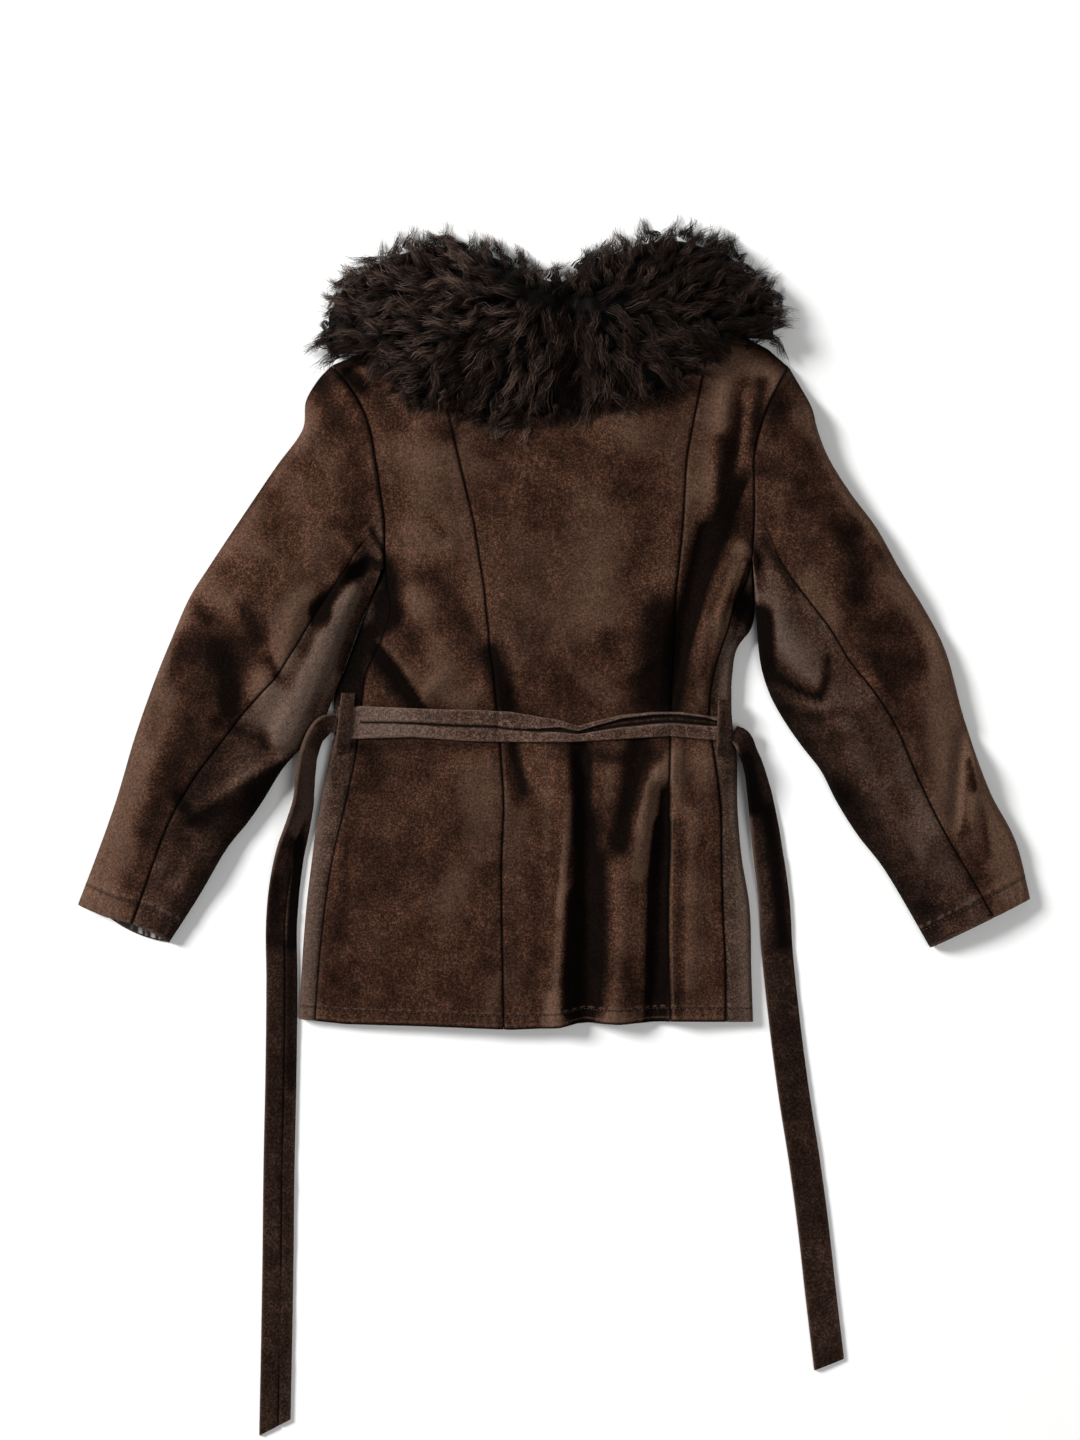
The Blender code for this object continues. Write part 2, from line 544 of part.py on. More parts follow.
def sleeve_grid(table, folds, side, peek, ring):
    """Outer and inner closed rings of a whole sleeve, from the armhole's ring to the cuff."""
    along = np.linspace(0, 1, SLEEVE_STATIONS) ** 1.12
    row = {name: column(table, "along", name, along)[:, None] for name in SleeveRow._fields}
    start = table[0]
    ring_share = (start.outer_y - ring[:, 1]) / (start.outer_y - start.inner_y)
    fade = np.clip(1 - row["along"] / 0.3, 0, 1) ** 2
    share = ring_shares(row["seam"])
    share = share + (ring_share - share) * fade
    upper = np.arange(RING) <= UPPER_LAST
    x = row["outer_x"] + (row["inner_x"] - row["outer_x"]) * share
    y = row["outer_y"] + (row["inner_y"] - row["outer_y"]) * share
    length = np.hypot(row["inner_x"] - row["outer_x"], row["inner_y"] - row["outer_y"])
    x = x + (ring[:, 0] - x[0]) * fade
    y = y + (ring[:, 1] - y[0]) * fade
    grown = smooth(row["along"] / 0.13)
    middle = 0.5 * row["edge"]
    height = row["edge"] + (row["crown"] - row["edge"]) * np.sin(np.pi * np.clip(share, 0, 1)) ** 0.8
    from_edge = np.clip(1 - np.minimum(share, 1 - share) * length / middle, 0, 1)
    rolled = np.sqrt(1 - from_edge**2)
    rolled[:, [0, UPPER_LAST]] = 0
    z = np.where(upper, middle + (height - middle) * rolled, middle * (1 - rolled))
    z = ring[:, 2] + (z - ring[:, 2]) * grown
    end = smooth((row["along"] - 0.9) / 0.1) * np.where(upper, 0, 1) * np.sin(np.pi * share) * peek
    base = np.stack([x - side * 0.38 * end, y - 0.92 * end, z], axis=-1)
    normal = np.cross(np.gradient(base, axis=0), np.roll(base, -1, axis=1) - np.roll(base, 1, axis=1))
    normal *= np.sign(normal[8, 4, 2])
    normal /= np.linalg.norm(normal, axis=-1, keepdims=True)
    folded = fold_height(x, y, folds) * smooth(row["along"] / 0.1) * rolled * upper
    folded = np.where(upper & (rolled > 0.95), np.maximum(folded, LEAST_SLEEVE - z), folded)
    folded[1:, TOP_CELLS] -= SEAM_DIP
    inner = base - HIDE * normal
    inner[0, :, :2] = base[0, :, :2]
    seams = [TOP_CELLS, UPPER_LAST + UNDER_TURN]
    inner[:, seams, :2] = base[:, seams, :2]
    outer = base
    outer[..., 2] += folded
    inner[..., 2] = np.maximum(inner[..., 2] + folded, np.where(upper, HIDE + SEAM_GAP, HIDE))
    return keep_outside(outer, side), keep_outside(inner, side)


def part_seam(grid):
    """Draw the two border columns of a grid in by half a seam gap."""
    for edge, beside_edge in ((0, 1), (-1, -2)):
        way = (grid[:, beside_edge] - grid[:, edge]) * (1, 1, 0)
        way /= np.maximum(np.linalg.norm(way, axis=-1, keepdims=True), 0.001)
        grid[:, edge] = grid[:, edge] + 0.7 * SEAM_GAP * way
    return grid


def sleeve_pieces(outer, inner):
    """Walls of the top sleeve and the under sleeve, from the whole sleeve's rings."""
    lower = UPPER_LAST + UNDER_TURN
    top_columns = [number % RING for number in range(lower, RING + TOP_CELLS + 1)]
    under_columns = list(range(TOP_CELLS, lower + 1))
    top = shell(part_seam(outer[:, top_columns]), part_seam(inner[:, top_columns]))
    under = shell(part_seam(outer[:, under_columns]), part_seam(inner[:, under_columns]))
    return top, under


COLLAR_COLUMNS = 50
COLLAR_ROWS = 11
FUR_DEPTH = 44.0      # fur above what it lies on, in the middle of the collar
FUR_RIM = 7.0
TUFT = 5.0
PILE_ROUND = 20.0     # distance in from the rim over which the pile rises
FUR_REST = 25.0       # how much higher the fur lies on the shoulders than beyond them
PARTING_DEPTH = 20.0
PARTING_WIDTH = 11.0
NECK_ROOM_HALF = 62.0
NECK_ROOM_TOP = 545.0
SLEEVE_HEAD = 33.0    # height of the sleeve heads below the collar
SLEEVE_HEAD_TOP = 472.0
NECK_ROOM = 21.0      # height of the hollow below the collar at the neck


def covered_height(x, y):
    """Height of the body and sleeve heads at a place, 0 beside them."""
    left = column(TORSO, "up", "left", y) - 1
    right = column(TORSO, "up", "right", y) + 1
    on_body = (x > left) & (x < right) & (y < line_at(SHOULDER, x) + 1.5)
    on_sleeve = ((x <= left) | (x >= right)) & (y < SLEEVE_HEAD_TOP)
    height = np.where(on_body, torso_height(x, y), 0)
    return np.where(on_sleeve, SLEEVE_HEAD, height)


def collar_under(x, y):
    """Underside of the collar: it lies on the back, reaches the floor beyond it and leaves the neck open."""
    reach = (-11, -5, 0, 5, 11)
    height = np.max([covered_height(x + dx, y + dy) for dx in reach for dy in reach], axis=0) + LYING
    height = np.where(height < 1, 0, height)
    neck = (np.abs(x - NECK_CENTRE) < NECK_ROOM_HALF) & (y < NECK_ROOM_TOP)
    return np.where(neck, np.maximum(height, NECK_ROOM), height)


def collar_wall():
    """The collar: a deep pile between its lower and upper outline, with a parting and long soft locks."""
    x = np.linspace(COLLAR[0].x, COLLAR[-1].x, COLLAR_COLUMNS)[:, None]
    share = 0.5 - 0.5 * np.cos(np.pi * np.linspace(0, 1, COLLAR_ROWS + 1))
    low = column(COLLAR, "x", "low", x) - TUFT * np.abs(np.sin(x / 9.0))
    high = column(COLLAR, "x", "high", x) + TUFT * (np.abs(np.sin(x / 7.5 + 0.6)) - 1)
    y = low + (high - low) * share
    x = np.broadcast_to(x, y.shape)
    under = collar_under(x, y)
    ends = np.minimum(x - COLLAR[0].x, COLLAR[-1].x - x)
    inside = np.minimum(np.minimum(y - low, high - y), 0.8 * ends)
    pile = FUR_DEPTH * (1 - np.exp(-inside / PILE_ROUND))
    rest = FUR_REST * smooth((line_at(SHOULDER, x) + 52 - y) / 85)
    parting = PARTING_DEPTH * np.exp(-((x - NECK_CENTRE) / PARTING_WIDTH) ** 2) * smooth(inside / PILE_ROUND)
    fan = np.arctan2(y - 505, x - NECK_CENTRE)
    locks = 3.0 * np.sin(15 * fan + 0.03 * y) + 2.0 * np.sin(23 * fan - 0.02 * x)
    top = rest + FUR_RIM + pile - parting + locks * smooth(inside / 18)
    top = np.maximum(top, under + 5)
    return shell(np.stack([x, y, top], axis=-1), np.stack([x, y, under], axis=-1))


BELT_RELIEF = np.array([0.78, 1.05, 0.50, 1.05, 0.78])


def belt_waist_wall(left_front, left_panel, centre, right_panel, right_front):
    """The belt across the back, from the points of the pieces that it lies on, moved out."""
    rows = slice(BELT_FIRST, BELT_FIRST + 3)
    grids = [left_front[rows, 2::-1], left_panel[rows], centre[rows], right_panel[rows], right_front[rows, :3]]
    strip = grids[0]
    for grid in grids[1:]:
        joint = 0.5 * (strip[:, -1:] + grid[:, :1])
        strip = np.concatenate([strip[:, :-1], joint, grid[:, 1:]], axis=1)
    left_end = strip[:, :1].copy()
    left_end[..., 0] = BELT_LEFT_END
    right_end = strip[:, -1:].copy()
    right_end[..., 0] = BELT_RIGHT_END
    strip = np.concatenate([left_end, strip, right_end], axis=1)
    under = np.repeat(strip, 2, axis=0)[:-1]
    under[1::2] = 0.5 * (strip[:-1] + strip[1:])
    under[..., 2] += BELT_SEAT
    over = under.copy()
    over[..., 2] += BELT_THICK * BELT_RELIEF[:, None]
    return shell(over, under)


TAIL_STATIONS = 40
TAIL_ACROSS = np.linspace(-0.5, 0.5, 5)
TAIL_RELIEF = np.array([0.0, 0.0, -0.9, 0.0, 0.0])


def tail_wall(table, side, slant):
    """One free end of the belt: a flat band that turns on its edge beside the loop and then lies flat."""
    points = np.array([(row.x, row.y) for row in table], float)
    run = np.concatenate([[0], np.cumsum(np.linalg.norm(np.diff(points, axis=0), axis=1))])
    at = run[-1] * np.linspace(0, 1, TAIL_STATIONS) ** 1.5
    x, y, rise, bank = (curve_through(run, [getattr(row, name) for row in table], at)
                        for name in ("x", "y", "rise", "bank"))
    way = np.stack([np.gradient(x, at), np.gradient(y, at)], axis=-1)
    way /= np.linalg.norm(way, axis=-1, keepdims=True)
    tilt = np.radians(bank)
    rise = np.maximum(rise, 0)
    across = np.stack([-way[:, 1] * np.cos(tilt), way[:, 0] * np.cos(tilt), -side * np.sin(tilt)], axis=-1)
    along = np.stack([way[:, 0], way[:, 1], np.zeros_like(x)], axis=-1)
    normal = np.cross(along, across)
    normal *= np.sign(normal[:, 2:3])
    half = 0.5 * BELT_WIDTH * np.sin(np.abs(tilt))
    centre = np.stack([x, y, rise + half], axis=-1)
    under = centre[:, None] + BELT_WIDTH * TAIL_ACROSS[None, :, None] * across[:, None]
    ends = smooth((at - run[-1] + 25) / 25)[:, None]
    under += ends[..., None] * (slant * TAIL_ACROSS[None, :, None] * along[:, None])
    over = under + (BELT_THICK + TAIL_RELIEF)[None, :, None] * normal[:, None]
    return shell(over, under)


def loop_wall(size, belt_top):
    """A belt loop: a short strap that lies on the side seam and rises over the belt."""
    share = np.array([0, 0.05, 0.115, 0.18, 0.34, 0.5, 0.66, 0.83, 0.895, 0.95, 1.0])
    raised = smooth((share - 0.03) / 0.12) * smooth((0.97 - share) / 0.12)
    x = size.top_x + (size.foot_x - size.top_x) * share
    y = size.top_y + (size.foot_y - size.top_y) * share
    across = x[:, None] + size.width * np.array([-0.5, 0.0, 0.5])
    places = np.broadcast_to(y[:, None], across.shape)
    rest = np.max(torso_height(across, places), axis=1) + LYING
    under = rest + (belt_top + LYING - rest) * raised
    flat = np.stack([across, places, np.broadcast_to(under[:, None], across.shape)], axis=-1)
    return shell(flat + np.array([0, 0, LOOP_THICK]), flat)


def lining_wall(inner):
    """Satin lining that shows on the lower layer of the left cuff, where the upper layer ends short of it."""
    lower = UPPER_LAST + UNDER_TURN
    rim = inner[-1, lower + 1:lower + 5]
    back = inner[-4, lower + 1:lower + 5]
    share = np.array([0.04, 0.3, 0.65, 1.0])[:, None, None]
    bed = rim + (back - rim) * share
    bed[..., 2] = HIDE + LYING
    return shell(bed + np.array([0, 0, 0.9]), bed)


def clear_scene():
    """Remove every object of the open scene."""
    for piece in list(bpy.data.objects):
        bpy.data.objects.remove(piece, do_unlink=True)


def build():
    """Make every piece of the coat."""
    clear_scene()
    coat = bpy.data.collections.new("belted_coat")
    bpy.context.scene.collection.children.link(coat)
    suede = suede_material("suede", SUEDE, 0.92)
    suede_grey = suede_material("suede_greyer", SUEDE_GREY, 0.92)
    belt = suede_material("rough_side_suede", BELT_ROUGH, 0.95)
    fur = suede_material("fur", FUR, 0.7)
    satin = suede_material("satin_lining", SATIN, 0.35)

    left_front = front_panel(1)
    right_front = front_panel(-1)
    left_panel = back_panel("left_seam", "left_princess", 10)
    centre = back_panel("left_princess", "right_princess", 13)
    right_panel = back_panel("right_princess", "right_seam", 8)
    add_piece(coat, "front_left", shell(*left_front), suede_grey)
    add_piece(coat, "front_right", shell(*right_front), suede_grey)
    add_piece(coat, "back_left_side", shell(*left_panel), suede)
    add_piece(coat, "back_centre", shell(*centre), suede)
    add_piece(coat, "back_right_side", shell(*right_panel), suede)

    armhole = slice(ARMPIT_ROW, None)
    left_ring = armhole_ring(left_panel[0][armhole, 0], left_front[0][armhole, WRAP_CELLS], 1)
    right_ring = armhole_ring(right_panel[0][armhole, -1], right_front[0][armhole, WRAP_CELLS], -1)
    left_sleeve = sleeve_grid(SLEEVE_LEFT, SLEEVE_LEFT_FOLDS, 1, CUFF_PEEK, left_ring)
    right_sleeve = sleeve_grid(SLEEVE_RIGHT, SLEEVE_RIGHT_FOLDS, -1, 0.0, right_ring)
    for name, grids in (("left", left_sleeve), ("right", right_sleeve)):
        top, under = sleeve_pieces(*grids)
        add_piece(coat, f"sleeve_{name}_top", top, suede)
        add_piece(coat, f"sleeve_{name}_under", under, suede_grey)

    add_piece(coat, "collar", collar_wall(), fur)
    waist = belt_waist_wall(left_front[0], left_panel[0], centre[0], right_panel[0], right_front[0])
    add_piece(coat, "belt_waist", waist, belt)
    add_piece(coat, "belt_tail_left", tail_wall(TAIL_LEFT, 1, -17), belt)
    add_piece(coat, "belt_tail_right", tail_wall(TAIL_RIGHT, -1, -8), belt)
    belt_top = 15.5 + LYING + BELT_THICK * BELT_RELIEF.max()
    add_piece(coat, "belt_loop_left", loop_wall(LOOP_LEFT, belt_top + 1.0), suede)
    add_piece(coat, "belt_loop_right", loop_wall(LOOP_RIGHT, belt_top + 1.5), suede)
    add_piece(coat, "cuff_lining_left", lining_wall(left_sleeve[1]), satin)


build()
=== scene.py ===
"""Belted suede coat with a shaggy fur collar, lying front down on a pale floor.

The back shows, with its three panels, two-piece sleeves and a tie belt in two loops. Lengths are in
millimetres, and become metres where a mesh is made: x runs across the coat, y up towards the collar
and z up from the floor. Left and right are the wearer's, which are the viewer's too, because the
back is on top.
"""

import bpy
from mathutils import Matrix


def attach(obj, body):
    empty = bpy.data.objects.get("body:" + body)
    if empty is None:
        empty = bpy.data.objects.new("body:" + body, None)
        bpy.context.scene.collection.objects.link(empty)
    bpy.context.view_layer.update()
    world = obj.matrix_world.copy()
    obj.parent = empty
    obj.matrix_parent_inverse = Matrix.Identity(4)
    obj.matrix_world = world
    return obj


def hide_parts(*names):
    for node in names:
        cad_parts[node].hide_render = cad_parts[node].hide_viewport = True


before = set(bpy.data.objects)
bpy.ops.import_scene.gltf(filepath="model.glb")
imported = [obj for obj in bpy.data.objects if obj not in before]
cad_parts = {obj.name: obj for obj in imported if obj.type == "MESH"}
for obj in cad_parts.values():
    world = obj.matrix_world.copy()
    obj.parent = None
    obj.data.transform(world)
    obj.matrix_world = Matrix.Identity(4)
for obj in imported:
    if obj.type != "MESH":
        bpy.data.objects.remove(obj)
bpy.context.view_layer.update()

import logging
import math
from dataclasses import dataclass, field
from enum import Enum
from typing import Callable, NamedTuple, Optional, Sequence

import bmesh
import bpy
import numpy as np
from mathutils import Vector

log = logging.getLogger("coat")
Array = np.ndarray
Path = tuple[tuple[float, float], ...]

MM = 0.001
HIDE = 2.6            # thickness of the suede with its short pile
LEAST_THICK = 0.6     # of a panel in its deepest seam
LEAST_SLEEVE_THICK = 0.5
SEAM_GAP = 0.3        # between two pieces at a seam
LYING = 0.45          # clearance between a piece and what it lies on
OVERLAP_LIFT = 2.9    # the left front lies on the right one by this much
CLOSURE_RIGHT = -20.0
CLOSURE_LEFT = 40.0
ARMPIT_LEFT = 262.0
ARMPIT_RIGHT = 271.0
SHOULDER_EDGE = 4.9   # height of the back where it meets the front at the shoulder seam
SHOULDER_REACH = 30.0
NECK_CENTRE = 16.0
NECK_HALF = 90.0
BACK_NECK_DEPTH = 32.0
FRONT_NECK_DEPTH = 100.0
WAIST_SINK = 3.0      # how far the belt draws the back in
WAIST_REACH = 17.0
PRESS_SHARE = 0.85    # how much of a fold the belt presses flat
PRESS_REACH = 19.0
STEP_FADE = 18.0      # length over which a step fades out past its ends
BELT_THICK = 4.2
BELT_WIDTH = 31.0
BELT_LEFT_END = -214.8
BELT_RIGHT_END = 176.2
LOOP_THICK = 2.2
MIN_TOP = 8.2         # lowest height of the upper layer, clear of the lower one
LEAST_SLEEVE = 9.5    # lowest height of a sleeve's upper side
SLEEVE_CLEAR = 0.35   # clearance between a sleeve and the body's side
PIT_HEIGHT = 11.0     # height of the armhole at the armpit
STITCH_IN = 13.5      # distance of the topstitching from a hem or cuff
SHARP_ANGLE = 55.0    # angle in degrees above which an edge stays crisp
BAND_SHARP = 70.0     # the same for the belt and its loops
ALL_SMOOTH = 180.0
TORSO_WAVES = ((1.3, 62), (0.75, 27), (0.28, 11))   # soft unevenness: height and spacing of each wave
SLEEVE_WAVES = ((1.4, 48), (0.8, 23), (0.28, 10))
BELT_WAVES = ((0.45, 17), (0.3, 7), (0.2, 3.2))
TAIL_WAVES = ((0.35, 26), (0.22, 9))
PANEL_BUNCHING = 0.55  # how much a panel's columns draw together at its seams
LATTICE_SIZE = 128    # seeded numbers on each side of drift's lattice
LATTICE_X = 500.37    # where the coat lies on it
LATTICE_Y = 500.71
SETTLE_ROUNDS = 8     # rounds in which a grid's columns and rows settle
SOFTEN_ROUNDS = 10    # rounds that even out what the belt lies on


class Side(Enum):
    """Which side of the coat; the value is the sign of the way in, towards the middle."""

    LEFT = 1
    RIGHT = -1


class TorsoRow(NamedTuple):
    """Half sections of the body at one height y: edges, seams, height at the edge and at the crown."""

    up: float
    left: float
    left_seam: float
    left_princess: float
    right_princess: float
    right_seam: float
    right: float
    edge: float
    crown: float


TORSO = tuple(TorsoRow(*row) for row in (
    (-196, -255, -239, -50, 116, 171, 199, 11, 20),
    (-139, -252, -235, -51, 114, 171, 197, 12, 24),
    (-73, -247, -228, -52, 113, 168, 195, 13, 28),
    (-23, -241, -220, -52, 114, 167, 187, 14, 30),
    (27, -234, -208, -50, 114, 166, 183, 15, 30),
    (80, -223, -197, -53, 115, 159, 182, 15, 27),
    (108, -218, -194, -55, 116, 155, 178, 15, 24),
    (135, -219, -191, -58, 117, 155, 177, 15, 26),
    (159, -210, -187, -60, 118, 159, 178, 16, 30),
    (186, -200, -174, -64, 119, 167, 184, 18, 34),
    (202, -194, -168, -65, 120, 173, 196, 19, 36),
    (218, -188, -163, -67, 120, 177, 200, 20, 37),
    (241, -179, -165, -69, 121, 188, 199, 21, 38),
    (267, -170, -168, -73, 124, 195, 197, 22, 38),
    (310, -169, -169, -80, 128, 199, 199, 23, 38),
    (348, -174, -174, -89, 130, 199, 199, 24, 38),
    (374, -178, -178, -95, 132, 199, 199, 24, 38),
    (401, -183, -183, -101, 137, 205, 205, 24, 37),
    (427, -193, -193, -107, 142, 214, 214, 24, 35),
    (447, -206, -206, -110, 146, 224, 224, 24, 32),
    (466, -222, -222, -112, 150, 235, 235, 24, 30),
    (530, -222, -222, -114, 160, 235, 235, 24, 30),
))

HEM: Path = ((-256, -186), (-208, -191), (-125, -193), (-42, -196), (5, -194), (32, -189), (66, -191),
             (117, -188), (200, -189))
BELT_LOW: Path = ((-222, 91), (-201, 93), (-141, 95), (-88, 91), (-42, 90), (16, 90), (66, 93), (115, 96),
                  (180, 90))
BELT_HIGH: Path = ((-222, 124), (-196, 126), (-125, 123), (-75, 122), (-42, 120), (5, 112), (24, 106),
                   (42, 111), (66, 117), (99, 120), (125, 120), (148, 117), (180, 112))
SHOULDER: Path = ((-230, 463), (-222, 466), (-114, 510), (-74, 527), (106, 525), (158, 507), (186, 497),
                  (214, 482), (232, 466), (242, 460))


class Fold(NamedTuple):
    """A soft ridge or trough along a path; a higher flatness makes it a plateau."""

    name: str
    path: Path
    width: float
    rise: float
    flat: int = 2


class Step(NamedTuple):
    """A fold that ends sharply on one side of its path and dies out over its reach on the other."""

    name: str
    path: Path
    rise: float
    sharp: float
    reach: float


TORSO_FOLDS = tuple(Fold(*row) for row in (
    ("strap fold from the right armpit to the waist",
     ((184, 276), (161, 222), (146, 170), (138, 118)), 15, 10, 4),
    ("hollow left of the strap fold", ((148, 300), (128, 210), (120, 130)), 12, -9),
    ("hollow right of the strap fold", ((190, 238), (176, 196)), 9, -6),
    ("valley beside the right armhole", ((188, 444), (181, 372)), 9, -5),
    ("ridge beside that valley", ((170, 440), (168, 360)), 9, 3),
    ("slant valley of the left side panel", ((-118, 250), (-74, 176)), 16, -4),
    ("swell of the left side panel", ((-140, 290), (-128, 190)), 30, 6),
    ("pleat right of the left princess seam", ((-42, 88), (-34, 34)), 8, -5),
    ("ridge of the centre skirt", ((12, 60), (10, -60), (2, -196)), 12, 6),
    ("deep valley of the centre skirt", ((29, 92), (28, 0), (28, -196)), 11, -12),
    ("slant ridge of the centre skirt", ((106, 66), (70, -40), (56, -196)), 17, 8),
    ("valley before the right princess seam", ((106, 40), (104, -60), (100, -196)), 10, -10),
    ("dart above the belt", ((16, 152), (19, 122)), 6, -0.4),
))
TORSO_CREASES = tuple(Fold(*row) for row in (
    ("crease above the belt, left", ((-160, 142), (-112, 132)), 5, -1.6),
    ("crease above that", ((-150, 160), (-118, 150)), 7, 1.4),
    ("crease above the belt, centre left", ((-40, 140), (-8, 128)), 6, -1.3),
    ("pull line from the right princess seam", ((112, 168), (74, 146), (52, 140)), 7, -1.8),
    ("pull line below the right armpit", ((150, 330), (128, 300)), 8, -1.8),
    ("dent in the centre panel", ((-10, 330), (4, 250)), 24, -2.2),
    ("low swell of the centre panel", ((50, 360), (46, 230)), 30, 2.6),
    ("shoulder blade, left", ((-150, 420), (-130, 360)), 26, 2.2),
    ("pucker below the belt, left", ((-176, 84), (-170, 56)), 7, -1.8),
    ("pucker below the belt, middle left", ((-120, 88), (-124, 50)), 9, -1.6),
    ("pucker below the belt, centre", ((-2, 86), (-6, 50)), 6, -2.0),
    ("pucker below the belt, right", ((84, 88), (80, 56)), 7, -2.2),
    ("second pucker, right", ((134, 88), (138, 30)), 8, -2.6),
    ("long dent of the left skirt", ((-150, 40), (-160, -60)), 26, -2.0),
    ("swell of the left skirt", ((-96, 60), (-104, -120)), 30, 2.2),
    ("small fold by the left side seam", ((-200, 60), (-214, -30)), 6, 1.6),
    ("fold in the lower right panel", ((142, 20), (136, -150)), 10, 2.2),
    ("hem flick, left", ((-60, -150), (-70, -194)), 12, 2.0),
    ("hem flick, centre", ((78, -130), (84, -192)), 8, -3.0),
    ("crease beside the strap fold", ((172, 262), (156, 216)), 4, -2.4),
    ("second crease beside it", ((158, 196), (150, 156)), 4, -2.0),
))
TORSO_STEPS = (
    Step("left side panel blouses over the waist", ((-160, 235), (-173, 188), (-136, 137)), 9, 4, 46),
    Step("right side panel stands over the centre", ((116, 90), (114, 0), (114, -200)), 5, 3, 40),
)
SLEEVE_LEFT_FOLDS = tuple(Fold(*row) for row in (
    ("underarm ridge", ((-206, 244), (-226, 190), (-250, 130), (-268, 96)), 14, 9, 4),
    ("hollow behind the underarm ridge", ((-180, 272), (-238, 216), (-250, 184)), 11, -8),
    ("upper arm crease", ((-250, 322), (-216, 306)), 8, -0.5),
    ("shoulder swell", ((-236, 420), (-206, 380)), 26, 4),
    ("elbow dent", ((-330, 192), (-318, 176)), 24, -6),
    ("outer elbow crease", ((-366, 232), (-342, 214)), 9, -4),
    ("elbow crease at the seam", ((-332, 108), (-288, 94)), 9, -6),
    ("crease above the elbow", ((-284, 172), (-272, 150)), 8, -4),
    ("forearm ridge", ((-270, 66), (-300, 54), (-322, 36)), 10, 5),
    ("lower forearm ridge", ((-330, -26), (-368, -54)), 11, 4),
))
SLEEVE_LEFT_CREASES = tuple(Fold(*row) for row in (
    ("wrinkle below the shoulder", ((-262, 372), (-232, 352)), 8, -2.0),
    ("wrinkle above the elbow", ((-322, 262), (-292, 240)), 10, -2.2),
    ("second wrinkle there", ((-300, 284), (-270, 270)), 8, 1.8),
    ("long dent of the upper arm", ((-258, 300), (-300, 200)), 18, -2.2),
    ("long swell of the upper arm", ((-292, 320), (-336, 236)), 16, 2.2),
    ("inner elbow pinch", ((-262, 78), (-286, 86)), 4, -2.6),
    ("inner elbow roll", ((-256, 96), (-282, 106)), 5, 2.4),
    ("forearm dent", ((-372, 60), (-350, 20)), 16, -2.6),
    ("forearm swell", ((-400, 40), (-416, -30)), 14, 2.4),
    ("cuff dent", ((-412, -60), (-400, -96)), 12, -2.0),
    ("wrinkle by the lower seam", ((-388, 20), (-362, 8)), 6, -1.8),
))
SLEEVE_RIGHT_FOLDS = tuple(Fold(*row) for row in (
    ("underarm ridge", ((206, 250), (226, 190), (262, 140)), 15, 5),
    ("first slant crease", ((207, 166), (264, 134)), 9, -6),
    ("second slant crease", ((232, 112), (262, 112)), 8, -4),
    ("shoulder swell", ((240, 420), (226, 380)), 26, 4),
    ("elbow dent", ((366, 196), (350, 150)), 18, -4),
    ("pleat above the cuff", ((407, 97), (399, 18)), 9, -6),
    ("ridge beside that pleat", ((420, 80), (414, 14)), 10, 4),
    ("inner forearm dent", ((300, 30), (330, -10)), 14, -4),
))
SLEEVE_RIGHT_CREASES = tuple(Fold(*row) for row in (
    ("wrinkle below the shoulder", ((246, 372), (272, 352)), 8, -2.0),
    ("wrinkle of the upper arm", ((262, 322), (300, 296)), 10, -2.2),
    ("second wrinkle there", ((282, 286), (318, 266)), 9, 2.0),
    ("elbow wrinkle", ((300, 210), (344, 196)), 8, -2.6),
    ("second elbow wrinkle", ((322, 172), (368, 164)), 8, -2.2),
    ("elbow roll", ((310, 192), (356, 180)), 8, 2.2),
    ("inner arm roll", ((226, 146), (268, 122)), 6, 2.6),
    ("third slant crease", ((250, 86), (284, 96)), 6, -2.6),
    ("forearm swell", ((352, 90), (378, 10)), 16, 2.4),
    ("forearm dent", ((318, 80), (346, 20)), 12, -2.0),
    ("cuff dent", ((418, -30), (430, -70)), 12, -2.2),
))


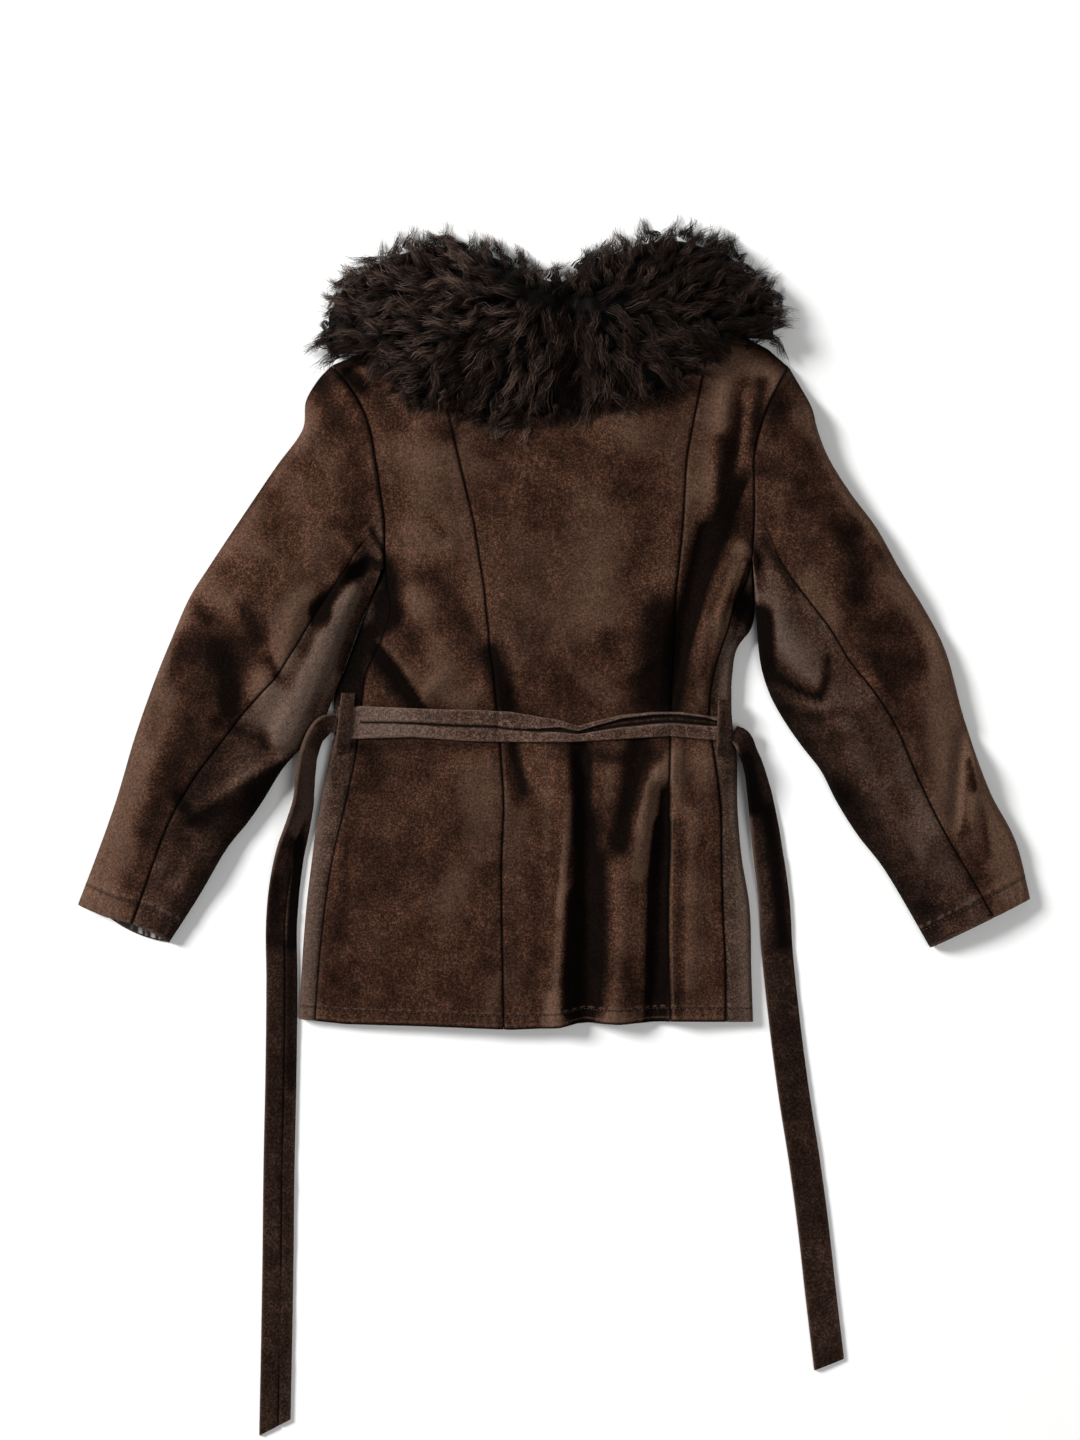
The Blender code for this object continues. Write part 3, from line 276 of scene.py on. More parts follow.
# Painted shade (below 0) and painted highlights (above 0) in the nap's colour, with some darker and rubbed
# nap among them; the rise is the depth of the shade.
TORSO_SHADES = tuple(Fold(*row) for row in (
    ("duller left panel, low", ((-146, 190), (-128, 150)), 14, -0.4),
    ("lit edge of the left panel", ((-186, 336), (-178, 296)), 10, 0.5),
    ("duller left skirt, high", ((-160, 66), (-112, 60), (-112, -20)), 26, -0.35),
    ("duller beside the left rim", ((-206, 40), (-212, -100)), 8, -0.4),
    ("dark side of the slant ridge", ((42, -30), (44, -100), (40, -170)), 10, -1.8),
    ("shade by the left shoulder", ((-206, 456), (-192, 444)), 9, -2.0),
    ("valley of the centre skirt, top", ((23, 92), (24, 50), (26, 20), (29, -6)), 8, -1.4, 4),
    ("valley where it widens", ((30, 4), (31, -46)), 15, -0.8, 4),
    ("black floor of the valley", ((29, -66), (26, -110), (23, -150), (24, -174)), 16, -2.1, 6),
    ("lit rim of that valley", ((16, 36), (13, -6), (9, -44), (5, -80)), 3, 1.1),
    ("rubbed rim, low", ((0, -100), (0, -186)), 9, 0.15),
    ("duller side of the rim", ((6, 86), (4, 0), (-2, -80), (-5, -150)), 10, -0.6),
    ("valley before the right princess seam",
     ((108, 6), (104, -40), (102, -100), (101, -178)), 10, -2.6, 6),
    ("its narrow top", ((113, 46), (112, 6)), 4, -0.4),
    ("lit beside the narrow top", ((102, 44), (92, -10), (86, -40)), 7, 1.2),
    ("duller edge of the right panel", ((124, 10), (122, -176)), 7, -0.7),
    ("shadow below the belt, right", ((46, 77), (60, 74), (100, 76)), 9, -0.9),
    ("shadow running down from it", ((84, 92), (80, 62), (71, 26), (64, -10)), 11, -1.9),
    ("lit slant ridge", ((112, 62), (92, 28), (80, -12)), 11, 0.15),
    ("duller lower slant ridge", ((70, -14), (66, -90), (64, -160)), 20, -0.4, 4),
    ("pleat right of the left princess seam", ((-41, 88), (-36, 66), (-29, 42)), 5, -1.3),
    ("below the belt, left", ((-196, 86), (-60, 87)), 5, -0.35),
    ("darker nap, left skirt", ((-184, 74), (-192, 0), (-190, -60)), 17, -0.4),
    ("lit by the left princess seam", ((-72, 40), (-72, -20)), 16, 0.3),
    ("darker nap, low", ((-130, -110), (-84, -150)), 24, -0.2),
    ("brushed light, left skirt", ((-70, -20), (-64, -90)), 14, -0.3),
    ("light beside the left princess seam", ((-32, 10), (-28, -80), (-28, -180)), 12, 0.15),
    ("lit top of the right skirt", ((138, 84), (142, 34)), 20, 0.3),
    ("lighter right skirt, low", ((148, -60), (150, -176)), 18, 0.2),
    ("slant crease of the left side panel", ((-131, 272), (-109, 242), (-92, 217), (-74, 192)), 6, -0.2),
    ("faint crease above it", ((-124, 312), (-112, 296)), 6, -0.6),
    ("dark below the armhole", ((-174, 232), (-160, 214)), 8, -1.5),
    ("duller side of the left bulge", ((-168, 224), (-140, 188)), 15, -0.4),
    ("duller beside the left princess seam", ((-82, 214), (-70, 176), (-60, 140)), 11, -0.35),
    ("right of the left princess seam", ((-62, 178), (-52, 150), (-46, 126)), 10, -1.7),
    ("lit spot above the belt", ((-114, 140), (-88, 132)), 15, 0.6),
    ("hollow beside the left armhole",
     ((-172, 268), (-164, 246), (-163, 226), (-172, 206), (-190, 194)), 11, -1.9),
    ("strip beside the left side seam", ((-206, 186), (-214, 140)), 11, -1.4),
    ("side strip in the shade", ((-196, 172), (-200, 134)), 10, -1.3, 4),
    ("dart above the belt", ((16, 152), (19, 122)), 7, -0.35),
    ("lit above the belt", ((24, 152), (62, 136)), 15, 0.4),
    ("soft dark left of the right princess seam", ((106, 216), (102, 184), (98, 136)), 20, -1.6),
    ("smudge of the centre panel", ((50, 196), (52, 180)), 8, -0.5),
    ("lit middle of the centre panel", ((0, 300), (20, 230)), 34, 0.3),
    ("below the collar, centre", ((-52, 392), (-10, 378), (40, 372), (64, 350)), 22, -0.5),
    ("below the collar, left", ((-178, 432), (-142, 396), (-110, 396)), 15, -0.6),
    ("lit upper left panel", ((-134, 390), (-130, 340), (-116, 300)), 30, 0.5),
    ("black top of the strap's shadow", ((166, 388), (168, 350), (173, 328), (166, 306)), 12, -1.9),
    ("its middle", ((160, 292), (150, 268), (142, 248)), 12, -2.0),
    ("its lower part", ((139, 232), (127, 192), (120, 150), (116, 126)), 10, -1.9),
    ("lit ridge beside that valley", ((191, 440), (190, 396), (184, 366)), 4, 0.5),
    ("dark before the armhole seam", ((206, 446), (203, 420), (198, 386)), 6, -1.1),
    ("lit yoke by the right shoulder", ((166, 440), (160, 380), (152, 340)), 11, 1.0),
    ("lit upper right panel", ((140, 330), (136, 290)), 14, 0.35),
    ("duller strap", ((176, 272), (162, 232), (152, 192), (143, 152), (136, 122)), 12, -0.35),
    ("slit right of the strap", ((191, 268), (181, 240), (178, 224)), 4, -1.0),
    ("black hollow of the right underarm", ((186, 228), (196, 214)), 11, -2.4),
    ("side strip by the waist", ((172, 200), (170, 140)), 8, 0.9),
    ("lit rim of the strap's right side", ((189, 268), (179, 238), (172, 208)), 2, 1.6),
    ("rubbed left rim, low", ((-238, 50), (-246, -60), (-248, -186)), 12, 0.85),
    ("rubbed right rim, low", ((184, 40), (188, -40), (192, -186)), 9, 0.7),
))
# Painted shade and highlights of the left sleeve, as above.
SLEEVE_LEFT_SHADES = tuple(Fold(*row) for row in (
    ("duller sleeve head", ((-232, 444), (-222, 410)), 14, -0.6),
    ("shade by the shoulder", ((-206, 456), (-192, 444)), 9, -2.0),
    ("duller outer side of the forearm", ((-396, 128), (-400, 100)), 10, -0.5),
    ("duller above the cuff", ((-376, 0), (-366, -16)), 9, -0.6),
    ("rubbed cuff", ((-462, -58), (-444, -76)), 14, 0.8),
    ("lit fold of the underarm", ((-240, 234), (-252, 205), (-262, 180)), 9, 0.9),
    ("below the fur", ((-244, 462), (-208, 460), (-176, 434)), 19, -0.6),
    ("upper arm crease", ((-300, 343), (-268, 330)), 9, -0.2),
    ("soft crease above the seam", ((-214, 306), (-196, 288)), 6, -0.5),
    ("pinch below the armhole", ((-182, 302), (-166, 272)), 3, -1.6),
    ("black hollow of the left underarm",
     ((-236, 220), (-219, 237), (-199, 260), (-184, 269), (-169, 264)), 7, -1.5, 4),
    ("wide end of that hollow", ((-234, 224), (-224, 212)), 12, -2.2),
    ("between the seam and the hollow", ((-252, 226), (-266, 196), (-286, 150), (-270, 118)), 14, 1.0),
    ("lit underarm ridge", ((-204, 236), (-220, 190), (-236, 150)), 10, 1.6),
    ("rubbed left edge of that ridge", ((-213, 222), (-236, 177), (-251, 142)), 4, 0.9),
    ("inner edge beside the body", ((-180, 250), (-196, 208), (-212, 164)), 7, -0.7, 4),
    ("elbow hollow", ((-370, 186), (-334, 178), (-312, 172)), 24, -0.7),
    ("deepest part of the elbow hollow", ((-334, 182), (-326, 160), (-306, 128)), 14, -1.1),
    ("outer elbow crease", ((-360, 231), (-344, 211)), 6, -0.4),
    ("second dark spot of the elbow", ((-308, 220), (-292, 194)), 11, -1.0),
    ("lit spot above the elbow", ((-326, 228), (-318, 220)), 9, 0.45),
    ("dark band before the seam", ((-346, 142), (-368, 96), (-388, 46), (-402, 4)), 17, -0.75),
    ("dark nap above the cuff", ((-404, -20), (-410, -50)), 12, -0.2),
    ("pinch at the seam", ((-323, 138), (-321, 122)), 9, -2.6),
    ("wedge at the seam", ((-283, 173), (-276, 156)), 5, -1.2),
    ("lit under sleeve", ((-300, 134), (-264, 106)), 20, 0.9),
    ("duller under sleeve", ((-336, 84), (-356, 44)), 16, -0.8),
    ("small crease of the forearm", ((-374, 36), (-360, 12)), 7, -1.1),
    ("below the forearm ridge", ((-344, 10), (-312, 24), (-290, 40)), 16, -0.5),
    ("inner edge in shadow",
     ((-276, 60), (-303, 16), (-330, -14), (-358, -58), (-384, -102)), 14, -0.9, 4),
    ("rubbed outer side", ((-392, 130), (-428, 22), (-454, -56)), 19, 0.9),
    ("rubbed outer side, high", ((-350, 268), (-330, 290)), 10, 0.4),
    ("outer side of the elbow", ((-356, 256), (-372, 220), (-396, 160)), 8, 1.3),
    ("rubbed shoulder edge", ((-242, 416), (-252, 392)), 10, 0.7),
    ("lit upper arm", ((-262, 372), (-250, 300)), 16, 0.15),
))
# Painted shade and highlights of the right sleeve, as above.
SLEEVE_RIGHT_SHADES = tuple(Fold(*row) for row in (
    ("below the fur", ((206, 462), (222, 424)), 15, -1.4),
    ("duller by the armhole", ((208, 360), (238, 352)), 11, -0.7),
    ("dark start of the under sleeve", ((203, 270), (205, 246)), 7, -0.8),
    ("dark nap of the sleeve head", ((224, 404), (246, 386)), 13, -0.2),
    ("upper arm crease", ((244, 342), (276, 358)), 6, -0.35),
    ("dark below that crease", ((244, 330), (268, 330)), 13, -0.5),
    ("dark band of the upper arm", ((288, 296), (302, 262), (300, 236)), 14, -1.0),
    ("outer crease of the upper arm", ((322, 282), (338, 274)), 6, -0.5),
    ("elbow hollow", ((312, 204), (346, 198), (376, 194)), 19, -0.3),
    ("second part of the elbow hollow", ((340, 176), (372, 172)), 14, -0.3),
    ("before the seam, below the elbow", ((316, 176), (334, 150)), 12, -0.7),
    ("lit spot above the elbow", ((326, 256), (342, 240)), 11, 0.4),
    ("rubbed outer edge, high", ((268, 396), (300, 334), (344, 272)), 10, 1.2),
    ("rubbed outer edge, elbow", ((362, 236), (384, 190), (400, 130)), 15, 2.4),
    ("rubbed outer edge, low", ((416, 92), (442, 20), (458, -30), (466, -60)), 19, 2.0),
    ("lit line of the pleat", ((409, 98), (405, 66), (404, 28), (400, 4)), 3, 3.0),
    ("dark spot in the pleat", ((414, 70), (418, 44)), 5, -1.8),
    ("second dark spot in the pleat", ((427, 24), (430, -20)), 5, -0.8),
    ("lit before the pleat", ((384, 120), (388, 80), (394, 20)), 14, 1.3),
    ("lit under sleeve", ((200, 252), (222, 214), (246, 176)), 18, 0.15),
    ("crease below the armpit", ((210, 290), (226, 258), (238, 240)), 5, -0.8),
    ("duller under the seam", ((250, 250), (276, 214)), 12, 0.5),
    ("first slant crease", ((208, 161), (226, 152), (246, 140), (262, 135)), 4, -1.8),
    ("its turned end", ((264, 136), (270, 154), (271, 172)), 5, -1.1),
    ("second slant crease", ((226, 124), (262, 117), (300, 120)), 5, -0.45),
    ("inner edge below the armpit", ((203, 214), (206, 166)), 12, -3.6, 4),
    ("inner edge in shadow, high", ((212, 150), (232, 114), (256, 84), (284, 38)), 15, -1.1),
    ("inner edge in shadow, low", ((284, 36), (316, -16), (350, -66), (374, -104)), 18, -1.0),
    ("rubbed spot of the under sleeve", ((360, -10), (364, -18)), 7, 0.45),
    ("dark band above the cuff", ((366, -72), (404, -82)), 9, -0.45),
    ("lit shoulder", ((240, 420), (256, 398)), 12, 0.5),
))


# Painted shade and highlights of the belt's two ends, as above.
TAIL_LEFT_SHADES = tuple(Fold(*row) for row in (
    ("black strip left of the turned edge", ((-258, 86), (-254, 70), (-258, 52)), 4, -0.5, 4),
    ("lit turned edge", ((-238, 104), (-245, 90), (-249, 75), (-255, 54)), 2, 2.0),
    ("lit face below the loop", ((-245, 76), (-246, 24), (-256, 4)), 7, 1.5),
    ("lit edge of the lower layer",
     ((-247, 22), (-252, 8), (-260, -11), (-263, -47), (-266, -66), (-268, -110)), 2, 1.2),
    ("start of the black face", ((-250, 10), (-254, -6)), 3, -1.6),
    ("black face right of that edge", ((-256, -12), (-257, -40), (-259, -70), (-261, -110)), 6, -3.0),
    ("darker right side", ((-263, -110), (-263, -250)), 6, -0.7),
    ("darker left side", ((-277, -50), (-280, -110)), 8, -0.9),
))
TAIL_RIGHT_SHADES = tuple(Fold(*row) for row in (
    ("black turned face", ((190, 72), (194, 50), (200, 26)), 8, -2.6),
    ("dark right side", ((213, 20), (222, -40), (229, -110)), 7, -1.5),
    ("rubbed left side", ((197, 0), (206, -60), (212, -110)), 5, 0.2),
    ("duller below", ((226, -120), (244, -280)), 14, -0.3),
))
# Painted sharp shadows: the colour is darkest beside the path's left and fades out over the reach.
TORSO_SHADOWS = tuple(Step(*row) for row in (
    ("shadow beside the strap's crest",
     ((121, 126), (128, 160), (136, 187), (144, 212), (151, 242), (162, 272), (173, 305), (190, 344)),
     -1.7, 1.0, 12),
    ("shadow below the left bulge",
     ((-132, 132), (-144, 149), (-154, 164), (-169, 182), (-184, 194)), -2.8, 1.2, 13),
    ("shadow beside the right skirt panel", ((114, -186), (113, -60), (114, 40)), -1.2, 1.0, 10),
))
SLEEVE_LEFT_SHADOWS = (
    Step("shadow below the forearm ridge",
         ((-271, 71), (-292, 60), (-314, 47), (-334, 32), (-354, 20)), -1.0, 1.5, 18),
)
SLEEVE_RIGHT_SHADOWS = (
    Step("shadow of the pleat", ((412, 98), (407, 70), (406, 36), (402, 8)), -0.8, 1.5, 11),
)


class SleeveRow(NamedTuple):
    """One section across a sleeve: its outer and inner edge points, seam place, edge and crown heights."""

    along: float
    outer_x: float
    outer_y: float
    inner_x: float
    inner_y: float
    seam: float
    edge: float
    crown: float


SLEEVE_LEFT = tuple(SleeveRow(*row) for row in (
    (0.00, -222, 466, -172, 263, 0.735, 18, 26),
    (0.05, -235, 452, -180, 240, 0.750, 18, 32),
    (0.10, -247, 431, -186, 226, 0.730, 18, 35),
    (0.16, -251, 401, -193, 210, 0.720, 18, 37),
    (0.22, -276, 366, -203, 182, 0.700, 18, 37),
    (0.30, -306, 322, -216, 145, 0.670, 17, 36),
    (0.38, -344, 265, -234, 102, 0.650, 17, 35),
    (0.46, -364, 233, -252, 84, 0.645, 17, 34),
    (0.54, -381, 194, -270, 64, 0.620, 16, 33),
    (0.64, -398, 152, -290, 32, 0.580, 16, 32),
    (0.76, -419, 92, -306, 9, 0.520, 16, 30),
    (0.87, -438, 28, -330, -22, 0.490, 16, 28),
    (0.95, -457, -25, -358, -70, 0.530, 15, 25),
    (1.00, -475, -72, -384, -110, 0.590, 14, 22),
))
SLEEVE_RIGHT = tuple(SleeveRow(*row) for row in (
    (0.00, 235, 464, 199, 272, 0.720, 18, 26),
    (0.05, 247, 443, 201, 243, 0.680, 18, 32),
    (0.10, 257, 424, 202, 222, 0.660, 18, 35),
    (0.16, 263, 401, 203, 197, 0.630, 18, 37),
    (0.22, 273, 375, 206, 168, 0.580, 18, 37),
    (0.30, 296, 338, 215, 138, 0.540, 17, 36),
    (0.38, 322, 303, 229, 112, 0.525, 17, 35),
    (0.46, 345, 262, 247, 86, 0.525, 17, 34),
    (0.54, 368, 225, 265, 63, 0.510, 16, 33),
    (0.64, 390, 182, 281, 32, 0.485, 16, 32),
    (0.76, 410, 110, 303, -3, 0.470, 16, 30),
    (0.87, 436, 38, 330, -38, 0.468, 16, 28),
    (0.95, 463, -16, 354, -78, 0.450, 15, 25),
    (1.00, 475, -66, 375, -115, 0.380, 14, 22),
))


class CollarRow(NamedTuple):
    """Lower and upper outline of the fur at one place x."""

    x: float
    low: float
    high: float


COLLAR = tuple(CollarRow(*row) for row in (
    (-238, 470, 486), (-226, 465, 524), (-213, 464, 552), (-190, 463, 573), (-165, 443, 586),
    (-133, 418, 595), (-101, 413, 597), (-63, 399, 588), (-31, 397, 574), (7, 404, 563),
    (39, 412, 581), (81, 418, 598), (122, 438, 604), (150, 460, 597), (175, 476, 588),
    (200, 479, 562), (220, 481, 545), (232, 495, 520),
))


class TailRow(NamedTuple):
    """A point on the middle of a belt end, its height above the floor and its turn in degrees."""

    x: float
    y: float
    rise: float
    bank: float


TAIL_LEFT = tuple(TailRow(*row) for row in (
    (-216.3, 109, 16.0, 0), (-227, 108, 12.0, 30), (-237, 99, 5.0, 56), (-245, 80, 1.5, 62),
    (-249, 54, 0, 60), (-251, 32, 0, 57), (-256, 8, 0, 45), (-263, -18, 0, 31), (-269, -52, 0, 17),
    (-272, -84, 0, 6), (-272, -151, 0, 0), (-273, -245, 0, 0), (-275, -339, 0, 0),
    (-276, -434, 0, 0), (-279, -595, 0, 0),
))
TAIL_RIGHT = tuple(TailRow(*row) for row in (
    (177.3, 99, 15.0, 0), (186, 93, 11.0, -30), (191, 81, 5.0, -50), (197, 66, 1.5, -52),
    (203, 42, 0, -42), (209, 9, 0, -26), (214, -25, 0, -14), (220, -69, 0, -5), (223, -118, 0, 0),
    (228, -168, 0, 0), (240, -263, 0, 0), (251, -333, 0, 0), (259, -393, 0, 0), (266, -456, 0, 0),
    (275, -532, 0, 0),
))


class LoopSize(NamedTuple):
    """Middle of a belt loop's two ends and its width."""

    top_x: float
    top_y: float
    foot_x: float
    foot_y: float
    width: float


LOOP_LEFT = LoopSize(-204.5, 139, -211.0, 80, 14)
LOOP_RIGHT = LoopSize(169.0, 132, 167.0, 77, 12)


def curve_through(knots: Sequence[float], values: Sequence[float], at: Array) -> Array:
    """Smooth curve through a table's values.

    Args:
        knots: places of the table's rows, rising.
        values: one value a row.
        at: places to read.

    Returns:
        The curve's values, held at both ends.
    """
    knots = np.asarray(knots, float)
    values = np.asarray(values, float)
    slopes = np.gradient(values, knots)
    at = np.clip(at, knots[0], knots[-1])
    low = np.clip(np.searchsorted(knots, at, side="right") - 1, 0, len(knots) - 2)
    span = knots[low + 1] - knots[low]
    t = (at - knots[low]) / span
    start = (2 * t**3 - 3 * t**2 + 1) * values[low] + (t**3 - 2 * t**2 + t) * span * slopes[low]
    end = (3 * t**2 - 2 * t**3) * values[low + 1] + (t**3 - t**2) * span * slopes[low + 1]
    return start + end


def column(table: Sequence[NamedTuple], key: str, name: str, at: Array) -> Array:
    """One named column of a table, as a smooth curve over its key column."""
    return curve_through([getattr(row, key) for row in table], [getattr(row, name) for row in table], at)


def line_at(line: Path, x: Array) -> Array:
    """Height y of a guide line at x, straight between its points."""
    return np.interp(x, [point[0] for point in line], [point[1] for point in line])


def smooth(t: Array) -> Array:
    """Soft step from 0 to 1."""
    t = np.clip(t, 0.0, 1.0)
    return t * t * (3 - 2 * t)


def eased(cells: int, bunching: float) -> Array:
    """Shares from 0 to 1: even steps where bunching is 0, small ones at both ends where it is 1."""
    t = np.linspace(0, 1, cells + 1)
    return (1 - bunching) * t + bunching * (0.5 - 0.5 * np.cos(np.pi * t))


def rounded(from_edge: Array, radius: Array | float) -> Array:
    """Quarter circle: 0 at an edge, 1 at a radius from it and beyond."""
    return np.sqrt(1 - np.clip(1 - from_edge / radius, 0, 1) ** 2)


def bell(distance: Array, width: float) -> Array:
    """Bell curve: 1 at distance 0, and a third of that at the width."""
    return np.exp(-(distance / width) ** 2)


def unit(vectors: Array, least: float = 1e-9) -> Array:
    """The vectors with length 1; least keeps a vector of no length from dividing by 0."""
    return vectors / np.maximum(np.linalg.norm(vectors, axis=-1, keepdims=True), least)


def run_along(points: Array) -> Array:
    """Length from a line's first point to each of its points."""
    return np.concatenate([[0], np.cumsum(np.linalg.norm(np.diff(points, axis=0), axis=1))])


def between(rows: Array, at: Array) -> Array:
    """Values between rows, on a straight line from each row to the next.

    Args:
        rows: the rows of values.
        at: row numbers with fractions.

    Returns:
        One row of values for each number.
    """
    low = np.clip(np.floor(at).astype(int), 0, len(rows) - 2)
    part = (at - low).reshape(-1, *[1] * (rows.ndim - 1))
    return rows[low] * (1 - part) + rows[low + 1] * part


def drift(x: Array, y: Array, scale: float, seed: int) -> Array:
    """Smooth unevenness between -1 and 1.

    Args:
        x: places across.
        y: places along.
        scale: distance between two bumps.
        seed: number that picks the pattern.

    Returns:
        Values of a lattice of seeded numbers, blended softly.
    """
    size = LATTICE_SIZE
    lattice = np.random.default_rng(seed).uniform(-1, 1, (size, size))
    u = np.asarray(x, float) / scale + LATTICE_X
    v = np.asarray(y, float) / scale + LATTICE_Y
    i = np.floor(u).astype(int)
    j = np.floor(v).astype(int)
    s = smooth(u - i)
    t = smooth(v - j)
    i0, i1, j0, j1 = i % size, (i + 1) % size, j % size, (j + 1) % size
    low = lattice[i0, j0] * (1 - s) + lattice[i1, j0] * s
    high = lattice[i0, j1] * (1 - s) + lattice[i1, j1] * s
    return low * (1 - t) + high * t


def unevenness(x: Array, y: Array, waves: Sequence[tuple[float, float]], seed: int) -> Array:
    """Sum of several drifts, each wave with its height and the distance between two bumps."""
    return sum(height * drift(x, y, scale, seed + number) for number, (height, scale) in enumerate(waves))


def beside(path: Path, x: Array, y: Array) -> tuple[Array, Array, Array]:
    """Place beside a path.

    Args:
        path: the path's points.
        x: places across.
        y: places along.

    Returns:
        Distance from the path, signed distance across it (left is positive) and how far past its ends.
    """
    near = np.full(np.shape(x), np.inf)
    across = np.zeros(np.shape(x))
    past = np.zeros(np.shape(x))
    last = len(path) - 2
    for number, ((x0, y0), (x1, y1)) in enumerate(zip(path, path[1:])):
        dx, dy = x1 - x0, y1 - y0
        length = math.hypot(dx, dy)
        free = ((x - x0) * dx + (y - y0) * dy) / length**2
        t = np.clip(free, 0, 1)
        gap = np.hypot(x - x0 - t * dx, y - y0 - t * dy)
        over = np.zeros(np.shape(x))
        if number == 0:
            over = np.maximum(over, -free * length)
        if number == last:
            over = np.maximum(over, (free - 1) * length)
        side = (dx * (y - y0) - dy * (x - x0)) / length
        closer = gap < near
        near = np.where(closer, gap, near)
        across = np.where(closer, np.sign(side) * gap, across)
        past = np.where(closer, over, past)
    return near, across, past


def fold_height(x: Array, y: Array, folds: Sequence[Fold], steps: Sequence[Step] = ()) -> Array:
    """Sum of the soft ridges and troughs, and of the steps that end sharply on one side.

    Args:
        x: places across.
        y: places along the coat.
        folds: the ridges and troughs.
        steps: the one-sided folds.

    Returns:
        Height to add at each place, in millimetres.
    """
    total = np.zeros(np.shape(x))
    for fold in folds:
        near, _, _ = beside(fold.path, x, y)
        total += fold.rise * np.exp(-(near / fold.width) ** fold.flat)
    for step in steps:
        _, across, past = beside(step.path, x, y)
        face = 0.5 + 0.5 * np.tanh(across / step.sharp)
        fade = (np.maximum(across, 0) / step.reach) ** 2 + (past / STEP_FADE) ** 2
        total += step.rise * face * np.exp(-fade)
    return total


def shade_at(x: Array, y: Array, shades: Sequence[Fold], shadows: Sequence[Step]) -> Array:
    """Painted shade down to -1 and painted light up to 1, with overlapping shades eased into each other."""
    return np.tanh(1.25 * fold_height(x, y, shades, shadows))


def groove(distance: Array, depth: float, width: float) -> Array:
    """Depth of a sewn line at a distance from it."""
    return depth * bell(distance, width)


@dataclass
class Wall:
    """A closed wall between an outer and an inner grid of points, with named values for its surface."""

    outer: Array
    inner: Array
    cells: Optional[Array] = None
    values: dict[str, Array] = field(default_factory=dict)

    def faces(self) -> Array:
        """Outer faces, inner faces turned round, and the strip that joins them along every open border.

        Returns:
            Corner numbers of every four-cornered face.
        """
        rows, columns = self.outer.shape[:2]
        count = rows * columns
        index = np.arange(count).reshape(rows, columns)
        cells = np.ones((rows - 1, columns - 1), bool) if self.cells is None else self.cells
        a, b, c, d = index[:-1, :-1], index[:-1, 1:], index[1:, 1:], index[1:, :-1]
        quads = np.stack([a, b, c, d], axis=-1)[cells]
        beyond = np.pad(cells, 1)
        open_sides = (
            (cells & ~beyond[:-2, 1:-1], a, b), (cells & ~beyond[1:-1, 2:], b, c),
            (cells & ~beyond[2:, 1:-1], c, d), (cells & ~beyond[1:-1, :-2], d, a),
        )
        rim = [np.stack([q[mask], p[mask], count + p[mask], count + q[mask]], axis=-1)
               for mask, p, q in open_sides]
        return np.concatenate([quads, quads[:, ::-1] + count, *rim])

    def points(self) -> Array:
        """All the points, outer grid first."""
        return np.concatenate([self.outer.reshape(-1, 3), self.inner.reshape(-1, 3)])

    def value_arrays(self) -> dict[str, Array]:
        """The named values, repeated for the inner grid."""
        return {name: np.tile(np.broadcast_to(value, self.outer.shape[:2]).ravel(), 2)
                for name, value in self.values.items()}


def in_scene(name: str, data: bpy.types.ID) -> bpy.types.Object:
    """Put a new object into the scene.

    Args:
        name: its name.
        data: its mesh, light or camera.

    Returns:
        The object, at the origin.
    """
    thing = bpy.data.objects.new(name, data)
    bpy.context.scene.collection.objects.link(thing)
    return thing


def new_piece(name: str, points: Array, faces: Array, material: bpy.types.Material,
              values: dict[str, Array], sharp: float = SHARP_ANGLE,
              turn_out: bool = True) -> bpy.types.Object:
    """Make one mesh object.

    Args:
        name: the piece's name.
        points: its points, in millimetres.
        faces: its faces, all with the same number of corners.
        material: its finish.
        values: named values, one a point, that the finish reads.
        sharp: angle in degrees above which an edge stays crisp.
        turn_out: whether the faces are turned outward again.

    Returns:
        The linked object, riding on the coat's body.
    """
    mesh = bpy.data.meshes.new(name)
    corners = faces.shape[1]
    mesh.vertices.add(len(points))
    mesh.vertices.foreach_set("co", np.ascontiguousarray(points * MM, dtype=np.float32).ravel())
    mesh.loops.add(faces.size)
    mesh.loops.foreach_set("vertex_index", np.ascontiguousarray(faces, dtype=np.int32).ravel())
    mesh.polygons.add(len(faces))
    mesh.polygons.foreach_set("loop_start", np.arange(0, faces.size, corners, dtype=np.int32))
    mesh.update(calc_edges=True)
    mesh.validate()
    for key, value in values.items():
        layer = mesh.attributes.new(key, "FLOAT", "POINT")
        layer.data.foreach_set("value", np.ascontiguousarray(value, dtype=np.float32))
    if turn_out:
        form = bmesh.new()
        form.from_mesh(mesh)
        loose = [vertex for vertex in form.verts if not vertex.link_faces]
        bmesh.ops.delete(form, geom=loose, context="VERTS")
        bmesh.ops.recalc_face_normals(form, faces=form.faces)
        form.to_mesh(mesh)
        form.free()
    mesh.shade_smooth()
    mesh.set_sharp_from_angle(angle=math.radians(sharp))
    mesh.materials.append(material)
    piece = in_scene(name, mesh)
    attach(piece, "root")
    log.info("%s: %d points", name, len(mesh.vertices))
    return piece


def wall_piece(name: str, wall: Wall, material: bpy.types.Material,
               sharp: float = SHARP_ANGLE) -> bpy.types.Object:
    """Make one object from a wall."""
    return new_piece(name, wall.points(), wall.faces(), material, wall.value_arrays(), sharp)


